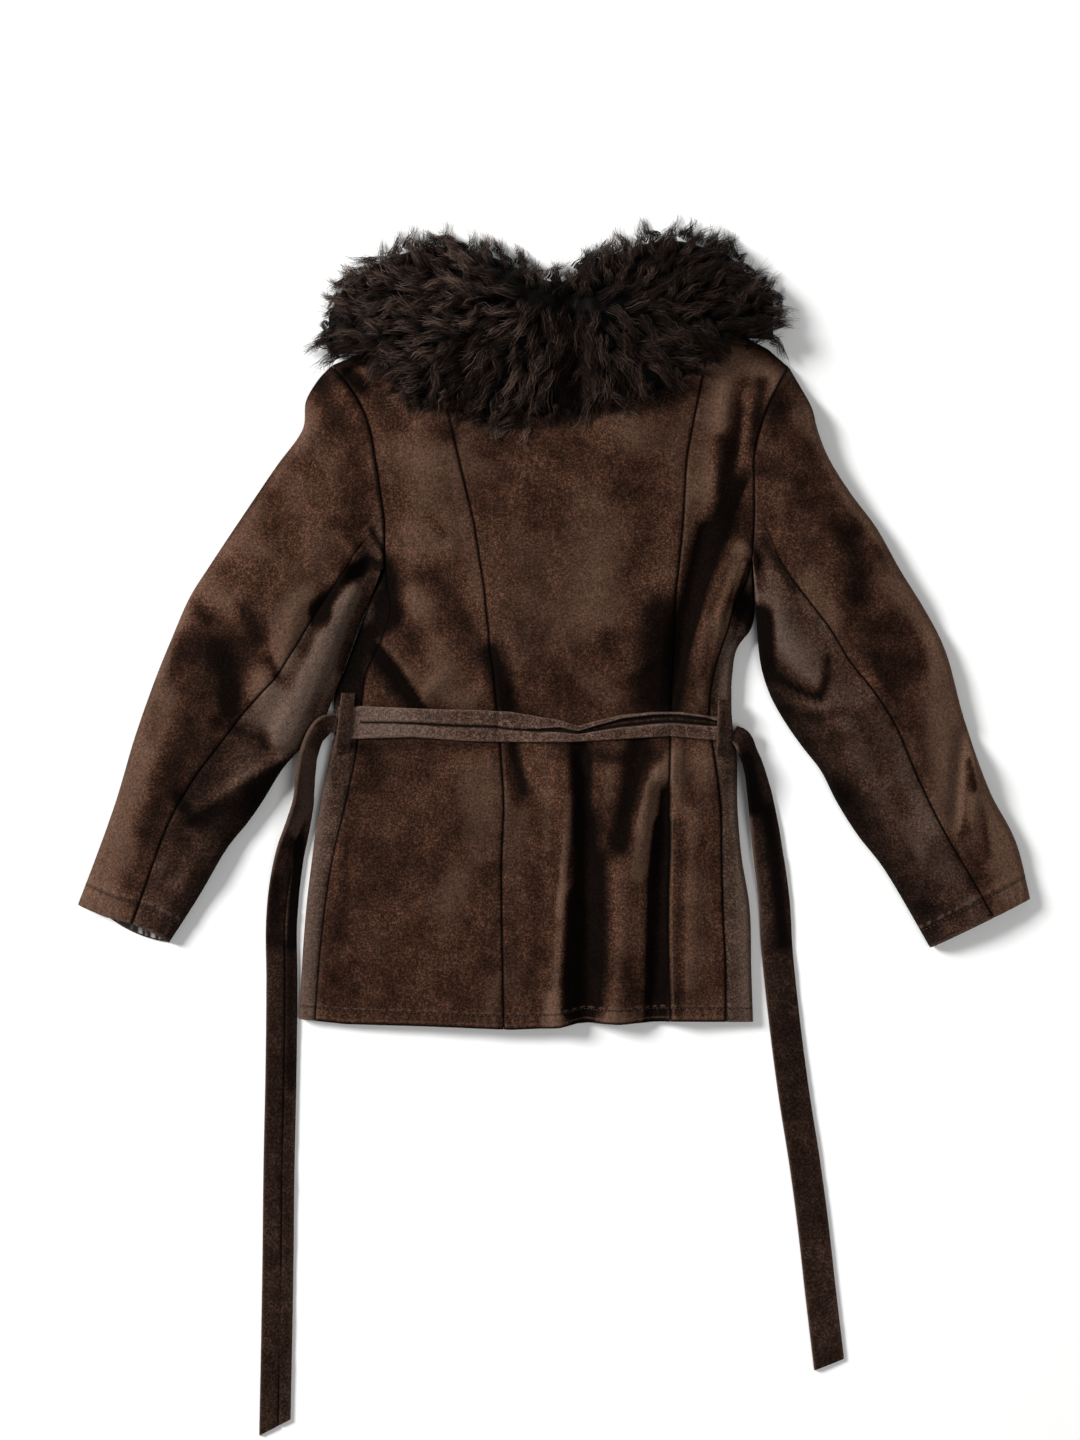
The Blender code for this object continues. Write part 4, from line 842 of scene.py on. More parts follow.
ROW_COUNTS = (96, 9, 56, 70)   # rows from hem to belt, under the belt, belt to armpit, armpit to top
BELT_FIRST = ROW_COUNTS[0]
ARMPIT_ROW = sum(ROW_COUNTS[:3])
ROW_GUIDE = np.concatenate([np.full(count, number) for number, count in enumerate(ROW_COUNTS)] + [[3]])
YOKE_SHARE = eased(ROW_COUNTS[3], 1.0)[:-1]
HEM_ROWS = 18         # rows that lie close together at the hem
HEM_SHARE = 0.066     # share of the skirt's height that they take
SKIRT_SHARE = np.concatenate([
    HEM_SHARE * np.arange(HEM_ROWS) / HEM_ROWS,
    HEM_SHARE + (1 - HEM_SHARE) * np.linspace(0, 1, ROW_COUNTS[0] - HEM_ROWS, endpoint=False)])
ROW_SHARE = np.concatenate([
    SKIRT_SHARE, *(np.arange(count) / count for count in ROW_COUNTS[1:3]), YOKE_SHARE, [1.0]])


def armpit(x: Array) -> Array:
    """Height y of the armpit line, straight from the left armpit to the right one."""
    return np.interp(x, (-170, 197), (ARMPIT_LEFT, ARMPIT_RIGHT))


def top_edge(x: Array, neck_depth: float) -> Array:
    """Top edge of the back or the fronts: the shoulder seams with the neck's curve between them."""
    reach = np.clip(np.abs(x - NECK_CENTRE) / NECK_HALF, 0, 1)
    return line_at(SHOULDER, x) - neck_depth * np.sqrt(1 - reach**2)


def body_line(name: str, y: Array) -> Array:
    """Place across of a seam or edge of the body at y, or its height at the edge or the crown."""
    return column(TORSO, "up", name, y)


def roll_radius(y: Array, side: Array) -> Array:
    """Radius across of the rolled side edge, kept outside the side seam.

    Args:
        y: places along the coat.
        side: 1 for the left side edge, -1 for the right one.

    Returns:
        The radius at each place.
    """
    half = 0.5 * body_line("edge", y)
    left_strip = body_line("left_seam", y) - body_line("left", y)
    right_strip = body_line("right", y) - body_line("right_seam", y)
    strip = np.where(np.asarray(side) > 0, left_strip, right_strip)
    return np.clip(0.8 * strip, 1.2, half)


def waist_line(x: Array) -> Array:
    """Middle of the belt."""
    return 0.5 * (line_at(BELT_LOW, x) + line_at(BELT_HIGH, x))


def torso_base(x: Array, y: Array) -> Array:
    """Height of the upper layer without its folds: rolled sides, a crown, and a fall to the shoulder seams.

    Args:
        x: places across.
        y: places along the coat.

    Returns:
        The height at each place.
    """
    left = body_line("left", y)
    right = body_line("right", y)
    edge = body_line("edge", y)
    crown = body_line("crown", y)
    radius = roll_radius(y, np.where(x < 0, 1, -1))
    rolled = 0.5 * edge * (1 + rounded(np.minimum(x - left, right - x), radius))
    rolled += (edge - rolled) * smooth((y - armpit(x)) / 15)
    share = np.clip((x - left) / (right - left), 0, 1)
    height = rolled + (crown - edge) * np.sin(np.pi * share)
    height -= WAIST_SINK * bell(y - waist_line(x), WAIST_REACH) * np.sin(np.pi * share)
    below = np.clip((line_at(SHOULDER, x) - y) / SHOULDER_REACH, 0, 1)
    fall = np.sin(0.5 * np.pi * below)
    neck = smooth((np.abs(x - NECK_CENTRE) - NECK_HALF + 12) / 24)
    return height + neck * (SHOULDER_EDGE + (height - SHOULDER_EDGE) * fall - height)


def torso_folds(x: Array, y: Array) -> Array:
    """Folds, creases and soft unevenness of the upper layer, faded at the shoulders and held clear below.

    Args:
        x: places across.
        y: places along the coat.

    Returns:
        Height to add at each place.
    """
    below = smooth((line_at(SHOULDER, x) - y) / SHOULDER_REACH)
    pressed = 1 - PRESS_SHARE * bell(y - waist_line(x), PRESS_REACH)
    small = fold_height(x, y, TORSO_CREASES) + unevenness(x, y, TORSO_WAVES, 11)
    folded = (fold_height(x, y, TORSO_FOLDS, TORSO_STEPS) + small) * below * pressed
    base = torso_base(x, y)
    return np.where(below > 0.99, np.maximum(folded, MIN_TOP - base), folded)


def torso_height(x: Array, y: Array) -> Array:
    """Height of the upper layer's outer face."""
    return torso_base(x, y) + torso_folds(x, y)


def slope_normal(height: Callable[[Array, Array], Array], x: Array, y: Array) -> Array:
    """Unit normals of a height function, from small differences.

    Args:
        height: gives the height at x and y.
        x: places across.
        y: places along the coat.

    Returns:
        Unit vectors of shape (..., 3).
    """
    step = 0.5
    fall_x = (height(x + step, y) - height(x - step, y)) / (2 * step)
    fall_y = (height(x, y + step) - height(x, y - step)) / (2 * step)
    normal = np.stack([-fall_x, -fall_y, np.ones_like(fall_x)], axis=-1)
    return unit(normal)


def rows_at(x: Array, neck_depth: float) -> Array:
    """Place y of every row of points, shared out between the guide lines.

    Args:
        x: places across.
        neck_depth: depth of the neck's curve, at the upper end of the rows.

    Returns:
        The places y, one row after the other.
    """
    guides = np.stack([*(line_at(line, x) for line in (HEM, BELT_LOW, BELT_HIGH)),
                       armpit(x), top_edge(x, neck_depth)])
    number = np.arange(len(ROW_GUIDE))
    share = ROW_SHARE[:, None]
    return guides[ROW_GUIDE, number] * (1 - share) + guides[ROW_GUIDE + 1, number] * share


def settle(places: Callable[[Array], Array], neck_depth: float) -> tuple[Array, Array]:
    """x and y of a grid whose columns depend on y and whose rows depend on x.

    Args:
        places: gives the places across for the heights y.
        neck_depth: depth of the neck's curve, at the upper end of the rows.

    Returns:
        The grid's x and y.
    """
    y = rows_at(places(np.zeros((len(ROW_GUIDE), 1))), neck_depth)
    for _ in range(SETTLE_ROUNDS):
        x = places(y)
        y = rows_at(x, neck_depth)
    return x, y


def sewn_soil(from_seam: Array, from_stitches: Array) -> Array:
    """Dirt in a seam, and less of it along a row of stitches."""
    return np.maximum(groove(from_seam, 1.0, 1.35), 0.62 * groove(from_stitches, 1.0, 1.3))


def hem_light(from_edge: Array, pucker: Array) -> Array:
    """Rubbed row of small bumps along the inside of a hem's stitches."""
    return groove(from_edge - STITCH_IN - 2.0, 1.3, 1.3) * (0.15 + 0.85 * pucker)


def painted_shade_and_wear(height: Array, reach: int = 5, shade: Array | float = 0.0) -> Array:
    """Painted shade and wear: 1 on a ridge painted lighter and rubbed, 0 in a valley painted dark, 0.5
    where it is plain.

    Args:
        height: grid of heights.
        reach: cells to the neighbours that a height is weighed against.
        shade: painted light and shade, which overrules the ridges.

    Returns:
        Shares from 0 to 1.
    """
    around = np.zeros_like(height)
    padded = np.pad(height, reach, mode="edge")
    rows, columns = height.shape
    for di, dj in ((-1, 0), (1, 0), (0, -1), (0, 1), (-1, -1), (1, 1), (-1, 1), (1, -1)):
        i, j = reach + di * reach, reach + dj * reach
        around += padded[i:i + rows, j:j + columns] / 8
    # painted highlights on ridges and painted shade in hollows, from the relief
    ridge = (height - around) / 12 * (1 - np.abs(shade))
    return np.clip(0.5 + ridge + 0.5 * shade, 0, 1)


@dataclass
class BackPanel:
    """One of the three panels of the back, between two seams."""

    node: str
    left_seam: str
    right_seam: str
    cells: int
    seam_depth: float = 1.6
    seam_width: float = 1.5
    lit_edge: float = 0.0
    allowance_rise: float = 0.45
    allowance_width: float = 11.0
    hem_rise: float = 0.7

    def grid(self) -> tuple[Array, Array]:
        """Places x and y of the panel's points, closer together at its two seams.

        Returns:
            The grid's x and y.
        """
        shares = eased(self.cells, PANEL_BUNCHING)

        def places(y: Array) -> Array:
            """Places across.

            Args:
                y: places along the coat.

            Returns:
                Places across for every row and column.
            """
            left = body_line(self.left_seam, y) + 0.5 * SEAM_GAP
            right = body_line(self.right_seam, y) - 0.5 * SEAM_GAP
            return left + (right - left) * shares

        return settle(places, BACK_NECK_DEPTH)

    def wall(self) -> Wall:
        """The panel with its folds, sewn edges, pressed seam allowances and turned-up hem.

        Returns:
            The panel's wall with its seam value, its value of painted shade, highlights and wear, and its
            edge value of painted highlights.
        """
        x, y = self.grid()
        from_seam = np.minimum(x - x[:, :1], x[:, -1:] - x)
        from_hem = y - y[:1]
        hem_line = np.abs(from_hem - STITCH_IN)
        pucker = 0.5 + 0.5 * np.sin(x / 1.45 + 2.6 * drift(x, y, 19, 31))
        turned_up = 1 - smooth((from_hem - STITCH_IN + 1.0) / 3.0)
        seam_pucker = np.sin(y / 3.4 + 2.5 * drift(x, y, 26, 32)) * np.exp(-from_seam / 7.0)
        relief = -groove(from_seam, self.seam_depth, self.seam_width)
        relief += self.allowance_rise * (1 - smooth((from_seam - self.allowance_width) / 4.0))
        relief += self.hem_rise * (1 - smooth((from_hem - STITCH_IN - 2.0) / 3.0))
        relief -= groove(hem_line, 0.85 + 0.45 * pucker, 1.5)
        relief -= groove(from_hem, 0.9, 1.6) + 0.55 * pucker * turned_up
        relief += 0.28 * seam_pucker
        folds = torso_folds(x, y) + relief
        base = np.stack([x, y, torso_base(x, y)], axis=-1)
        inner = base - HIDE * slope_normal(torso_base, x, y)
        inner[:, [0, -1], :2] = base[:, [0, -1], :2]
        inner[..., 2] = np.maximum(inner[..., 2] + torso_folds(x, y) - 0.2, HIDE + SEAM_GAP)
        base[..., 2] += folds
        base[..., 2] = np.maximum(base[..., 2], inner[..., 2] + LEAST_THICK)
        # The seams are darker; the dark band along the hem's very edge is painted shade where the hem turns
        # under.
        soil = np.maximum(sewn_soil(from_seam, hem_line), 0.85 * (1 - smooth((from_hem - 1.0) / 2.8)))
        # Painted rim light along the panel's left edge below the belt.
        rim = self.lit_edge * groove(x - x[:, :1] - 3.2, 1.0, 1.7) * smooth((92 - y) / 10)
        worn = painted_shade_and_wear(base[..., 2], 11, shade_at(x, y, TORSO_SHADES, TORSO_SHADOWS))
        # Painted shade and highlights from the tables and relief, also on the hem's puckers; a painted
        # highlight along the hem's rolled edge, with the rim light and the rubbed bumps inside the
        # stitches.
        values = {"seam": soil, "worn": worn - 0.16 * (pucker - 0.3) * turned_up,
                  "edge": 0.8 * groove(from_hem - 4.5, 1.0, 1.2) + rim + hem_light(from_hem, pucker)}
        return Wall(base, inner, values=values)


TOP_SHARES = np.linspace(0.0, 1.0, 9)                  # columns of a front's strip on top
ROLL_ANGLES = np.radians(90 + 15 * np.arange(1, 13))   # columns round its rolled edge
FLOOR_SHARES = np.array([1 / 3, 2 / 3])                # first columns along the floor
WRAP_CELLS = len(TOP_SHARES) + len(ROLL_ANGLES) - 1


@dataclass
class FrontPanel:
    """A front: a strip on top from the side seam, round the rolled edge and flat along the floor."""

    side: Side
    node: str
    stops: tuple[float, float, float]
    seam: str
    edge: str
    pit: float

    def wall(self) -> Wall:
        """The front's wall; it has no rolled edge above the armpit, where the sleeve is set in.

        Returns:
            The front's wall with its seam value, its value of painted shade, highlights and wear, and its
            edge value of painted highlights.
        """
        sign = self.side.value
        stops = np.array(self.stops, float)
        strip = len(TOP_SHARES)

        def parts(y: Array) -> tuple[Array, Array, Array, Array]:
            """Lines that the front follows.

            Args:
                y: places along the coat.

            Returns:
                Its side seam, the roll's radius and start, and where the floor part begins.
            """
            seam = body_line(self.seam, y) - sign * 0.5 * SEAM_GAP
            radius = roll_radius(y, sign)
            start = body_line(self.edge, y) + sign * radius
            armhole = body_line(self.seam, y) + sign * 0.5 * SEAM_GAP
            return seam, radius, start, np.where(y > self.pit + 1, armhole, start)

        def places(y: Array) -> Array:
            """Places across.

            Args:
                y: places along the coat.

            Returns:
                Places across for every row and column.
            """
            wide = np.broadcast_to(y, (len(y), WRAP_CELLS + 1 + len(FLOOR_SHARES) + len(stops)))
            seam, radius, start, first = parts(wide)
            top = seam[:, :strip] + (start - seam)[:, :strip] * TOP_SHARES
            turn = slice(strip, WRAP_CELLS)
            roll = start[:, turn] + sign * radius[:, turn] * np.cos(ROLL_ANGLES[:-1])
            floor = first[:, WRAP_CELLS:WRAP_CELLS + 1]
            spread = first[:, :2] + (stops[0] - first[:, :2]) * FLOOR_SHARES
            return np.concatenate([top, roll, floor, spread, np.broadcast_to(stops, (len(y), 3))], axis=1)

        x, y = settle(places, FRONT_NECK_DEPTH)
        _, radius, start, _ = parts(y)
        edge = body_line("edge", y)
        from_seam = np.abs(x - x[:, :1])
        from_hem = y - y[:1]
        hem_line = np.abs(from_hem - STITCH_IN)
        relief = -groove(from_seam, 1.5, 2.3) + 0.3 * (1 - smooth((from_seam - 9) / 4))
        relief += 0.6 * (1 - smooth((from_hem - STITCH_IN - 2) / 3)) - groove(hem_line, 0.7, 1.5)
        height = np.zeros_like(x)
        normal = np.zeros((*x.shape, 3))
        top = slice(0, strip)
        height[:, top] = torso_height(x[:, top], y[:, top]) + relief[:, top]
        normal[:, top] = slope_normal(torso_base, x[:, top], y[:, top])
        turn = slice(strip, WRAP_CELLS)
        sine = np.sin(ROLL_ANGLES[:-1])
        above = torso_height(start[:, turn], y[:, turn]) + relief[:, strip - 1:strip] - edge[:, turn]
        height[:, turn] = 0.5 * edge[:, turn] * (1 + sine) + above * 0.5 * (1 + sine)
        normal[:, turn] = np.stack([sign * np.cos(ROLL_ANGLES[:-1]), 0 * sine, sine], axis=-1)
        flat = slice(WRAP_CELLS, None)
        normal[:, flat] = (0, 0, -1)
        if self.side is Side.LEFT:
            height[:, flat] = OVERLAP_LIFT * smooth((x[:, flat] - stops[0]) / (stops[1] - stops[0]))
        outer = np.stack([x, y, height], axis=-1)
        inner = outer - HIDE * normal
        inner[:, 0, :2] = outer[:, 0, :2]
        turned = slice(1, WRAP_CELLS)
        seam = body_line(self.seam, y[:, turned]) - sign * SEAM_GAP
        inner[:, turned, 0] = sign * np.minimum(sign * inner[:, turned, 0], sign * seam)
        cells = np.ones((outer.shape[0] - 1, outer.shape[1] - 1), bool)
        cells[ARMPIT_ROW:, :WRAP_CELLS] = False
        # Painted shade and highlights from the tables and the relief; a painted highlight along the hem's
        # rolled edge, and the rubbed bumps inside its stitches.
        worn = painted_shade_and_wear(height, 3, shade_at(x, y, TORSO_SHADES, TORSO_SHADOWS))
        values = {"seam": sewn_soil(from_seam, hem_line), "worn": worn,
                  "edge": groove(from_hem, 1.0, 2.0) + hem_light(from_hem, 0.5 + 0.5 * np.sin(x / 1.45))}
        return Wall(outer, inner, cells, values)


TOP_CELLS = 47        # cells of the top sleeve's upper side
UNDER_CELLS = 23      # cells of the under sleeve's upper side
UNDER_TURN = 3        # cells of the under sleeve below
TOP_TURN = 11         # cells of the top sleeve below
RING_BUNCHING = 0.58  # how much the cells draw together at both edges of the upper side
UPPER_LAST = TOP_CELLS + UNDER_CELLS
RING = UPPER_LAST + UNDER_TURN + TOP_TURN
LOWER_SEAM = 0.86     # place across of the sleeve's front seam, below
CUFF_STATIONS = 22    # rings that lie close together at the cuff
CUFF_SHARE = 0.962    # place along the sleeve where they begin
SLEEVE_ALONG = np.concatenate([CUFF_SHARE * np.linspace(0, 1, 148, endpoint=False) ** 1.12,
                               np.linspace(CUFF_SHARE, 1, CUFF_STATIONS)])
ELBOW_STATION = 60    # a ring whose middle surely faces up
OPENED_FROM = 0.33    # place across the cuff where its layers part
LINING_ROWS = 38      # rings that the lining reaches up the sleeve
LINING_CELLS = 8      # cells of the lower layer that it covers
LINING_COLUMNS = 110


def quarter(cells: int) -> Array:
    """Shares from 0 to 1 that lie close together at 0."""
    return 1 - np.cos(0.5 * np.pi * np.arange(cells + 1) / cells)


# Highlights of the satin: place across the opening, width and strength.
LINING_LIGHTS = ((0.20, 0.030, 0.40), (0.45, 0.016, 0.42), (0.60, 0.034, 0.90), (0.69, 0.016, 0.62),
                 (0.80, 0.036, 1.0), (0.90, 0.015, 0.70))


@dataclass
class Sleeve:
    """A two-piece set-in sleeve that lies flat: rings from the armhole to the cuff."""

    side: Side
    table: tuple[SleeveRow, ...]
    folds: tuple[Fold, ...]
    creases: tuple[Fold, ...]
    shades: tuple[Fold, ...]
    shadows: tuple[Step, ...]
    peek: float
    seed: int
    seam_depth: float = 1.6
    seam_width: float = 1.5
    length: float = 585.0

    @property
    def pit(self) -> float:
        """Height y of the armpit on this side."""
        return ARMPIT_LEFT if self.side is Side.LEFT else ARMPIT_RIGHT

    def body_side(self, y: Array) -> Array:
        """Place across where the body's side ends."""
        return body_line(self.side.name.lower(), y)

    def ring_shares(self, seam: Array) -> Array:
        """Places across of a ring's points: 0 is the outer edge and 1 the inner one.

        Args:
            seam: place across of the seam between the top and under sleeve, for each station.

        Returns:
            Shares of shape (stations, ring points).
        """
        over_top = seam * eased(TOP_CELLS, RING_BUNCHING)[:-1]
        over_under = seam + (1 - seam) * eased(UNDER_CELLS, RING_BUNCHING)[:-1]
        below_under = 1 - (1 - LOWER_SEAM) * quarter(UNDER_TURN)[:-1] + 0 * seam
        below_top = LOWER_SEAM * quarter(TOP_TURN)[::-1][:-1] + 0 * seam
        return np.concatenate([over_top, over_under, below_under, below_top], axis=1)

    def armhole_ring(self, back_edge: Array, front_edge: Array) -> Array:
        """Closed ring just outside the body's armhole: over the back's edge and under the front's.

        Args:
            back_edge: points of the back's armhole, from the armpit up.
            front_edge: points of the front's armhole, from the armpit up.

        Returns:
            Points of shape (ring points, 3).
        """
        shoulder = 0.5 * (back_edge[-1] + front_edge[-1])
        pit = np.array([float(self.body_side(np.array(self.pit))), back_edge[0, 1] + SEAM_GAP, PIT_HEIGHT])
        below = np.linspace(0, len(front_edge) - 1, UNDER_TURN + TOP_TURN + 1)[1:-1].round().astype(int)
        ring = np.concatenate([[shoulder], back_edge[-2:0:-1], [pit], front_edge[below]])
        ring[:, 0] -= self.side.value * SEAM_GAP
        return ring

    def keep_outside(self, points: Array) -> Array:
        """Points below the armpit, pushed out to where the body's side ends.

        Args:
            points: points of the sleeve, changed in place.

        Returns:
            The same points.
        """
        sign = self.side.value
        edge = self.body_side(points[..., 1]) - sign * SLEEVE_CLEAR
        moved = sign * np.minimum(sign * points[..., 0], sign * edge)
        points[..., 0] = np.where(points[..., 1] < self.pit, moved, points[..., 0])
        return points

    def rings(self, ring: Array) -> tuple[Array, Array, dict[str, Array]]:
        """Outer and inner rings of the whole sleeve and the values of its surface.

        Args:
            ring: the armhole's ring of points.

        Returns:
            Outer points, inner points and named values.
        """
        sign = self.side.value
        along = SLEEVE_ALONG
        row = {name: column(self.table, "along", name, along)[:, None] for name in SleeveRow._fields}
        start = self.table[0]
        ring_share = (start.outer_y - ring[:, 1]) / (start.outer_y - start.inner_y)
        fade = np.clip(1 - row["along"] / 0.3, 0, 1) ** 2
        share = self.ring_shares(row["seam"])
        share = share + (ring_share - share) * fade
        upper = np.arange(RING) <= UPPER_LAST
        x = row["outer_x"] + (row["inner_x"] - row["outer_x"]) * share
        y = row["outer_y"] + (row["inner_y"] - row["outer_y"]) * share
        across = np.hypot(row["inner_x"] - row["outer_x"], row["inner_y"] - row["outer_y"])
        x = x + (ring[:, 0] - x[0]) * fade
        y = y + (ring[:, 1] - y[0]) * fade
        grown = smooth(row["along"] / 0.13)
        middle = 0.5 * row["edge"]
        height = row["edge"] + (row["crown"] - row["edge"]) * np.sin(np.pi * np.clip(share, 0, 1)) ** 0.8
        rolled = rounded(np.minimum(share, 1 - share) * across, middle)
        rolled[:, [0, UPPER_LAST]] = 0
        z = np.where(upper, middle + (height - middle) * rolled, middle * (1 - rolled))
        z = ring[:, 2] + (z - ring[:, 2]) * grown
        end = smooth((row["along"] - 0.9) / 0.1) * np.where(upper, -0.45, 0.55) * self.peek
        end = end * np.sin(np.pi * np.clip((share - OPENED_FROM) / (1 - OPENED_FROM), 0, 1)) ** 0.8
        base = np.stack([x - sign * 0.38 * end, y - 0.92 * end, z], axis=-1)
        normal = np.cross(np.gradient(base, axis=0), np.roll(base, -1, axis=1) - np.roll(base, 1, axis=1))
        normal *= np.sign(normal[ELBOW_STATION, TOP_CELLS // 2, 2])
        normal = unit(normal)
        folds, values = self.surface(x, y, row, share, across, rolled * upper, upper, grown, z)
        inner = base - HIDE * normal
        inner[0, :, :2] = base[0, :, :2]
        seams = [TOP_CELLS, UPPER_LAST + UNDER_TURN]
        inner[:, seams, :2] = base[:, seams, :2]
        broad = folds["broad"]
        outer = base
        inner[..., 2] = np.maximum(inner[..., 2] + broad, np.where(upper, HIDE + SEAM_GAP, HIDE))
        outer[..., 2] += broad + folds["fine"]
        thinnest = inner[..., 2] + LEAST_SLEEVE_THICK
        outer[..., 2] = np.where(upper, np.maximum(outer[..., 2], thinnest), outer[..., 2])
        # Painted shade and highlights from the sleeve's tables and its relief, on the upper side only.
        values["worn"] = painted_shade_and_wear(outer[..., 2], 6, shade_at(x, y, self.shades, self.shadows) * upper)
        return self.keep_outside(outer), self.keep_outside(inner), values

    def surface(self, x: Array, y: Array, row: dict[str, Array], share: Array, across: Array, rolled: Array,
                upper: Array, grown: Array, z: Array) -> tuple[dict[str, Array], dict[str, Array]]:
        """Folds of the upper side, with its sewn lines, and where they lie.

        Args:
            x: places across.
            y: places along the coat.
            row: the sleeve table's values at each station.
            share: place across each ring.
            across: width of the sleeve at each station.
            rolled: how far each point is up from the edge's roll.
            upper: which points are on the upper side.
            grown: how far the sleeve has left the armhole.
            z: heights without folds.

        Returns:
            Broad and fine heights to add, and named values.
        """
        begun = smooth(row["along"] / 0.1)
        small = fold_height(x, y, self.creases) + unevenness(x, y, SLEEVE_WAVES, self.seed)
        broad = (fold_height(x, y, self.folds) + small) * begun * rolled
        broad = np.where(upper & (rolled > 0.95), np.maximum(broad, LEAST_SLEEVE - z), broad)
        from_armhole = row["along"] * self.length + 0 * share
        from_seam = np.abs(share - row["seam"]) * across
        from_cuff = (1 - row["along"]) * self.length + 0 * share
        cuff_line = np.abs(from_cuff - STITCH_IN + 1.0)
        pucker = np.sin(from_armhole / 3.3 + 2.4 * drift(x, y, 25, self.seed + 3))
        fine = -groove(from_seam, self.seam_depth, self.seam_width) * begun
        fine += self.seam_depth * (1 - bell(from_armhole, 2.6)) * (1 - grown)
        fine += 0.4 * (1 - smooth((from_seam - 9) / 4)) + 0.3 * pucker * np.exp(-from_seam / 7)
        fold_wave = 0.5 + 0.5 * np.sin(share * across / 1.5 + 2.0 * drift(x, y, 19, self.seed + 5))
        fine += 0.8 * (1 - smooth((from_cuff - STITCH_IN - 2) / 3))
        fine -= groove(cuff_line, 0.85 + 0.4 * fold_wave, 1.5) + groove(from_cuff, 0.9, 1.6)
        fine -= 0.5 * fold_wave * (1 - smooth((from_cuff - STITCH_IN + 1) / 3))
        fine *= upper * np.clip(2.2 * rolled, 0, 1) + (1 - begun) * upper
        soil = np.maximum(groove(from_seam, 1.0, 1.35) * begun, groove(from_armhole, 1.0, 1.7))
        soil = np.maximum(soil, 0.62 * groove(cuff_line, 1.0, 1.3)) * upper
        # Painted highlight along the cuff's rolled edge, and the rubbed bumps inside its stitches.
        edge = groove(from_cuff, 1.0, 2.2) + hem_light(from_cuff, fold_wave)
        return {"broad": broad, "fine": fine}, {"seam": soil, "edge": edge}

    def part_seam(self, grid: Array) -> Array:
        """Draw the two border columns of a grid in by half a seam gap.

        Args:
            grid: points of one side of the sleeve, changed in place.

        Returns:
            The same grid.
        """
        for edge, beside_edge in ((0, 1), (-1, -2)):
            way = unit((grid[:, beside_edge] - grid[:, edge]) * (1, 1, 0), 0.001)
            grid[:, edge] = grid[:, edge] + 0.7 * SEAM_GAP * way
        return grid

    def walls(self, ring: Array) -> tuple[Wall, Wall]:
        """Walls of the top sleeve and the under sleeve.

        Args:
            ring: the armhole's ring of points.

        Returns:
            The top sleeve's wall and the under sleeve's.
        """
        outer, inner, values = self.rings(ring)
        lower = UPPER_LAST + UNDER_TURN
        top_columns = [number % RING for number in range(lower, RING + TOP_CELLS + 1)]
        under_columns = list(range(TOP_CELLS, lower + 1))
        walls = []
        for columns in (top_columns, under_columns):
            chosen = {name: value[:, columns] for name, value in values.items()}
            over, under = (self.part_seam(grid[:, columns]) for grid in (outer, inner))
            walls.append(Wall(over, under, None, chosen))
        return walls[0], walls[1]

    def lining(self, ring: Array) -> Wall:
        """Satin lining that shows on the lower layer of the cuff, where the upper layer ends short of it.

        Args:
            ring: the armhole's ring of points.

        Returns:
            The lining's wall with the value that raises its crinkles and places their painted highlights.
        """
        _, inner, _ = self.rings(ring)
        first = UPPER_LAST + 1
        columns = np.linspace(0, LINING_CELLS, LINING_COLUMNS)
        shown = inner[:, first:first + LINING_CELLS + 1]
        rim, back = between(shown[-1], columns), between(shown[-LINING_ROWS], columns)
        share = 0.014 + 0.986 * np.linspace(0, 1, 16)[:, None, None] ** 1.6
        bed = rim + (back - rim) * share
        bed[..., 2] = HIDE + LYING
        run = np.linalg.norm(rim - rim[-1], axis=-1) / np.linalg.norm(rim[0] - rim[-1])
        spot = (run - 0.12) / 0.88 + 0.9 * share[..., 0] + 0.016 * drift(bed[..., 0], bed[..., 1], 9, 91)
        # Painted highlights of the satin, which also raise its crinkles.
        crinkle = sum(size * bell(spot - place, wide) for place, wide, size in LINING_LIGHTS)
        over = bed + np.array([0, 0, 0.9])
        arch = np.sin(np.pi * np.linspace(0, 1, LINING_COLUMNS)) ** 0.5
        over[..., 2] += 0.9 * np.clip(crinkle, 0, 1) * arch
        return Wall(over, bed, values={"crinkle": crinkle})


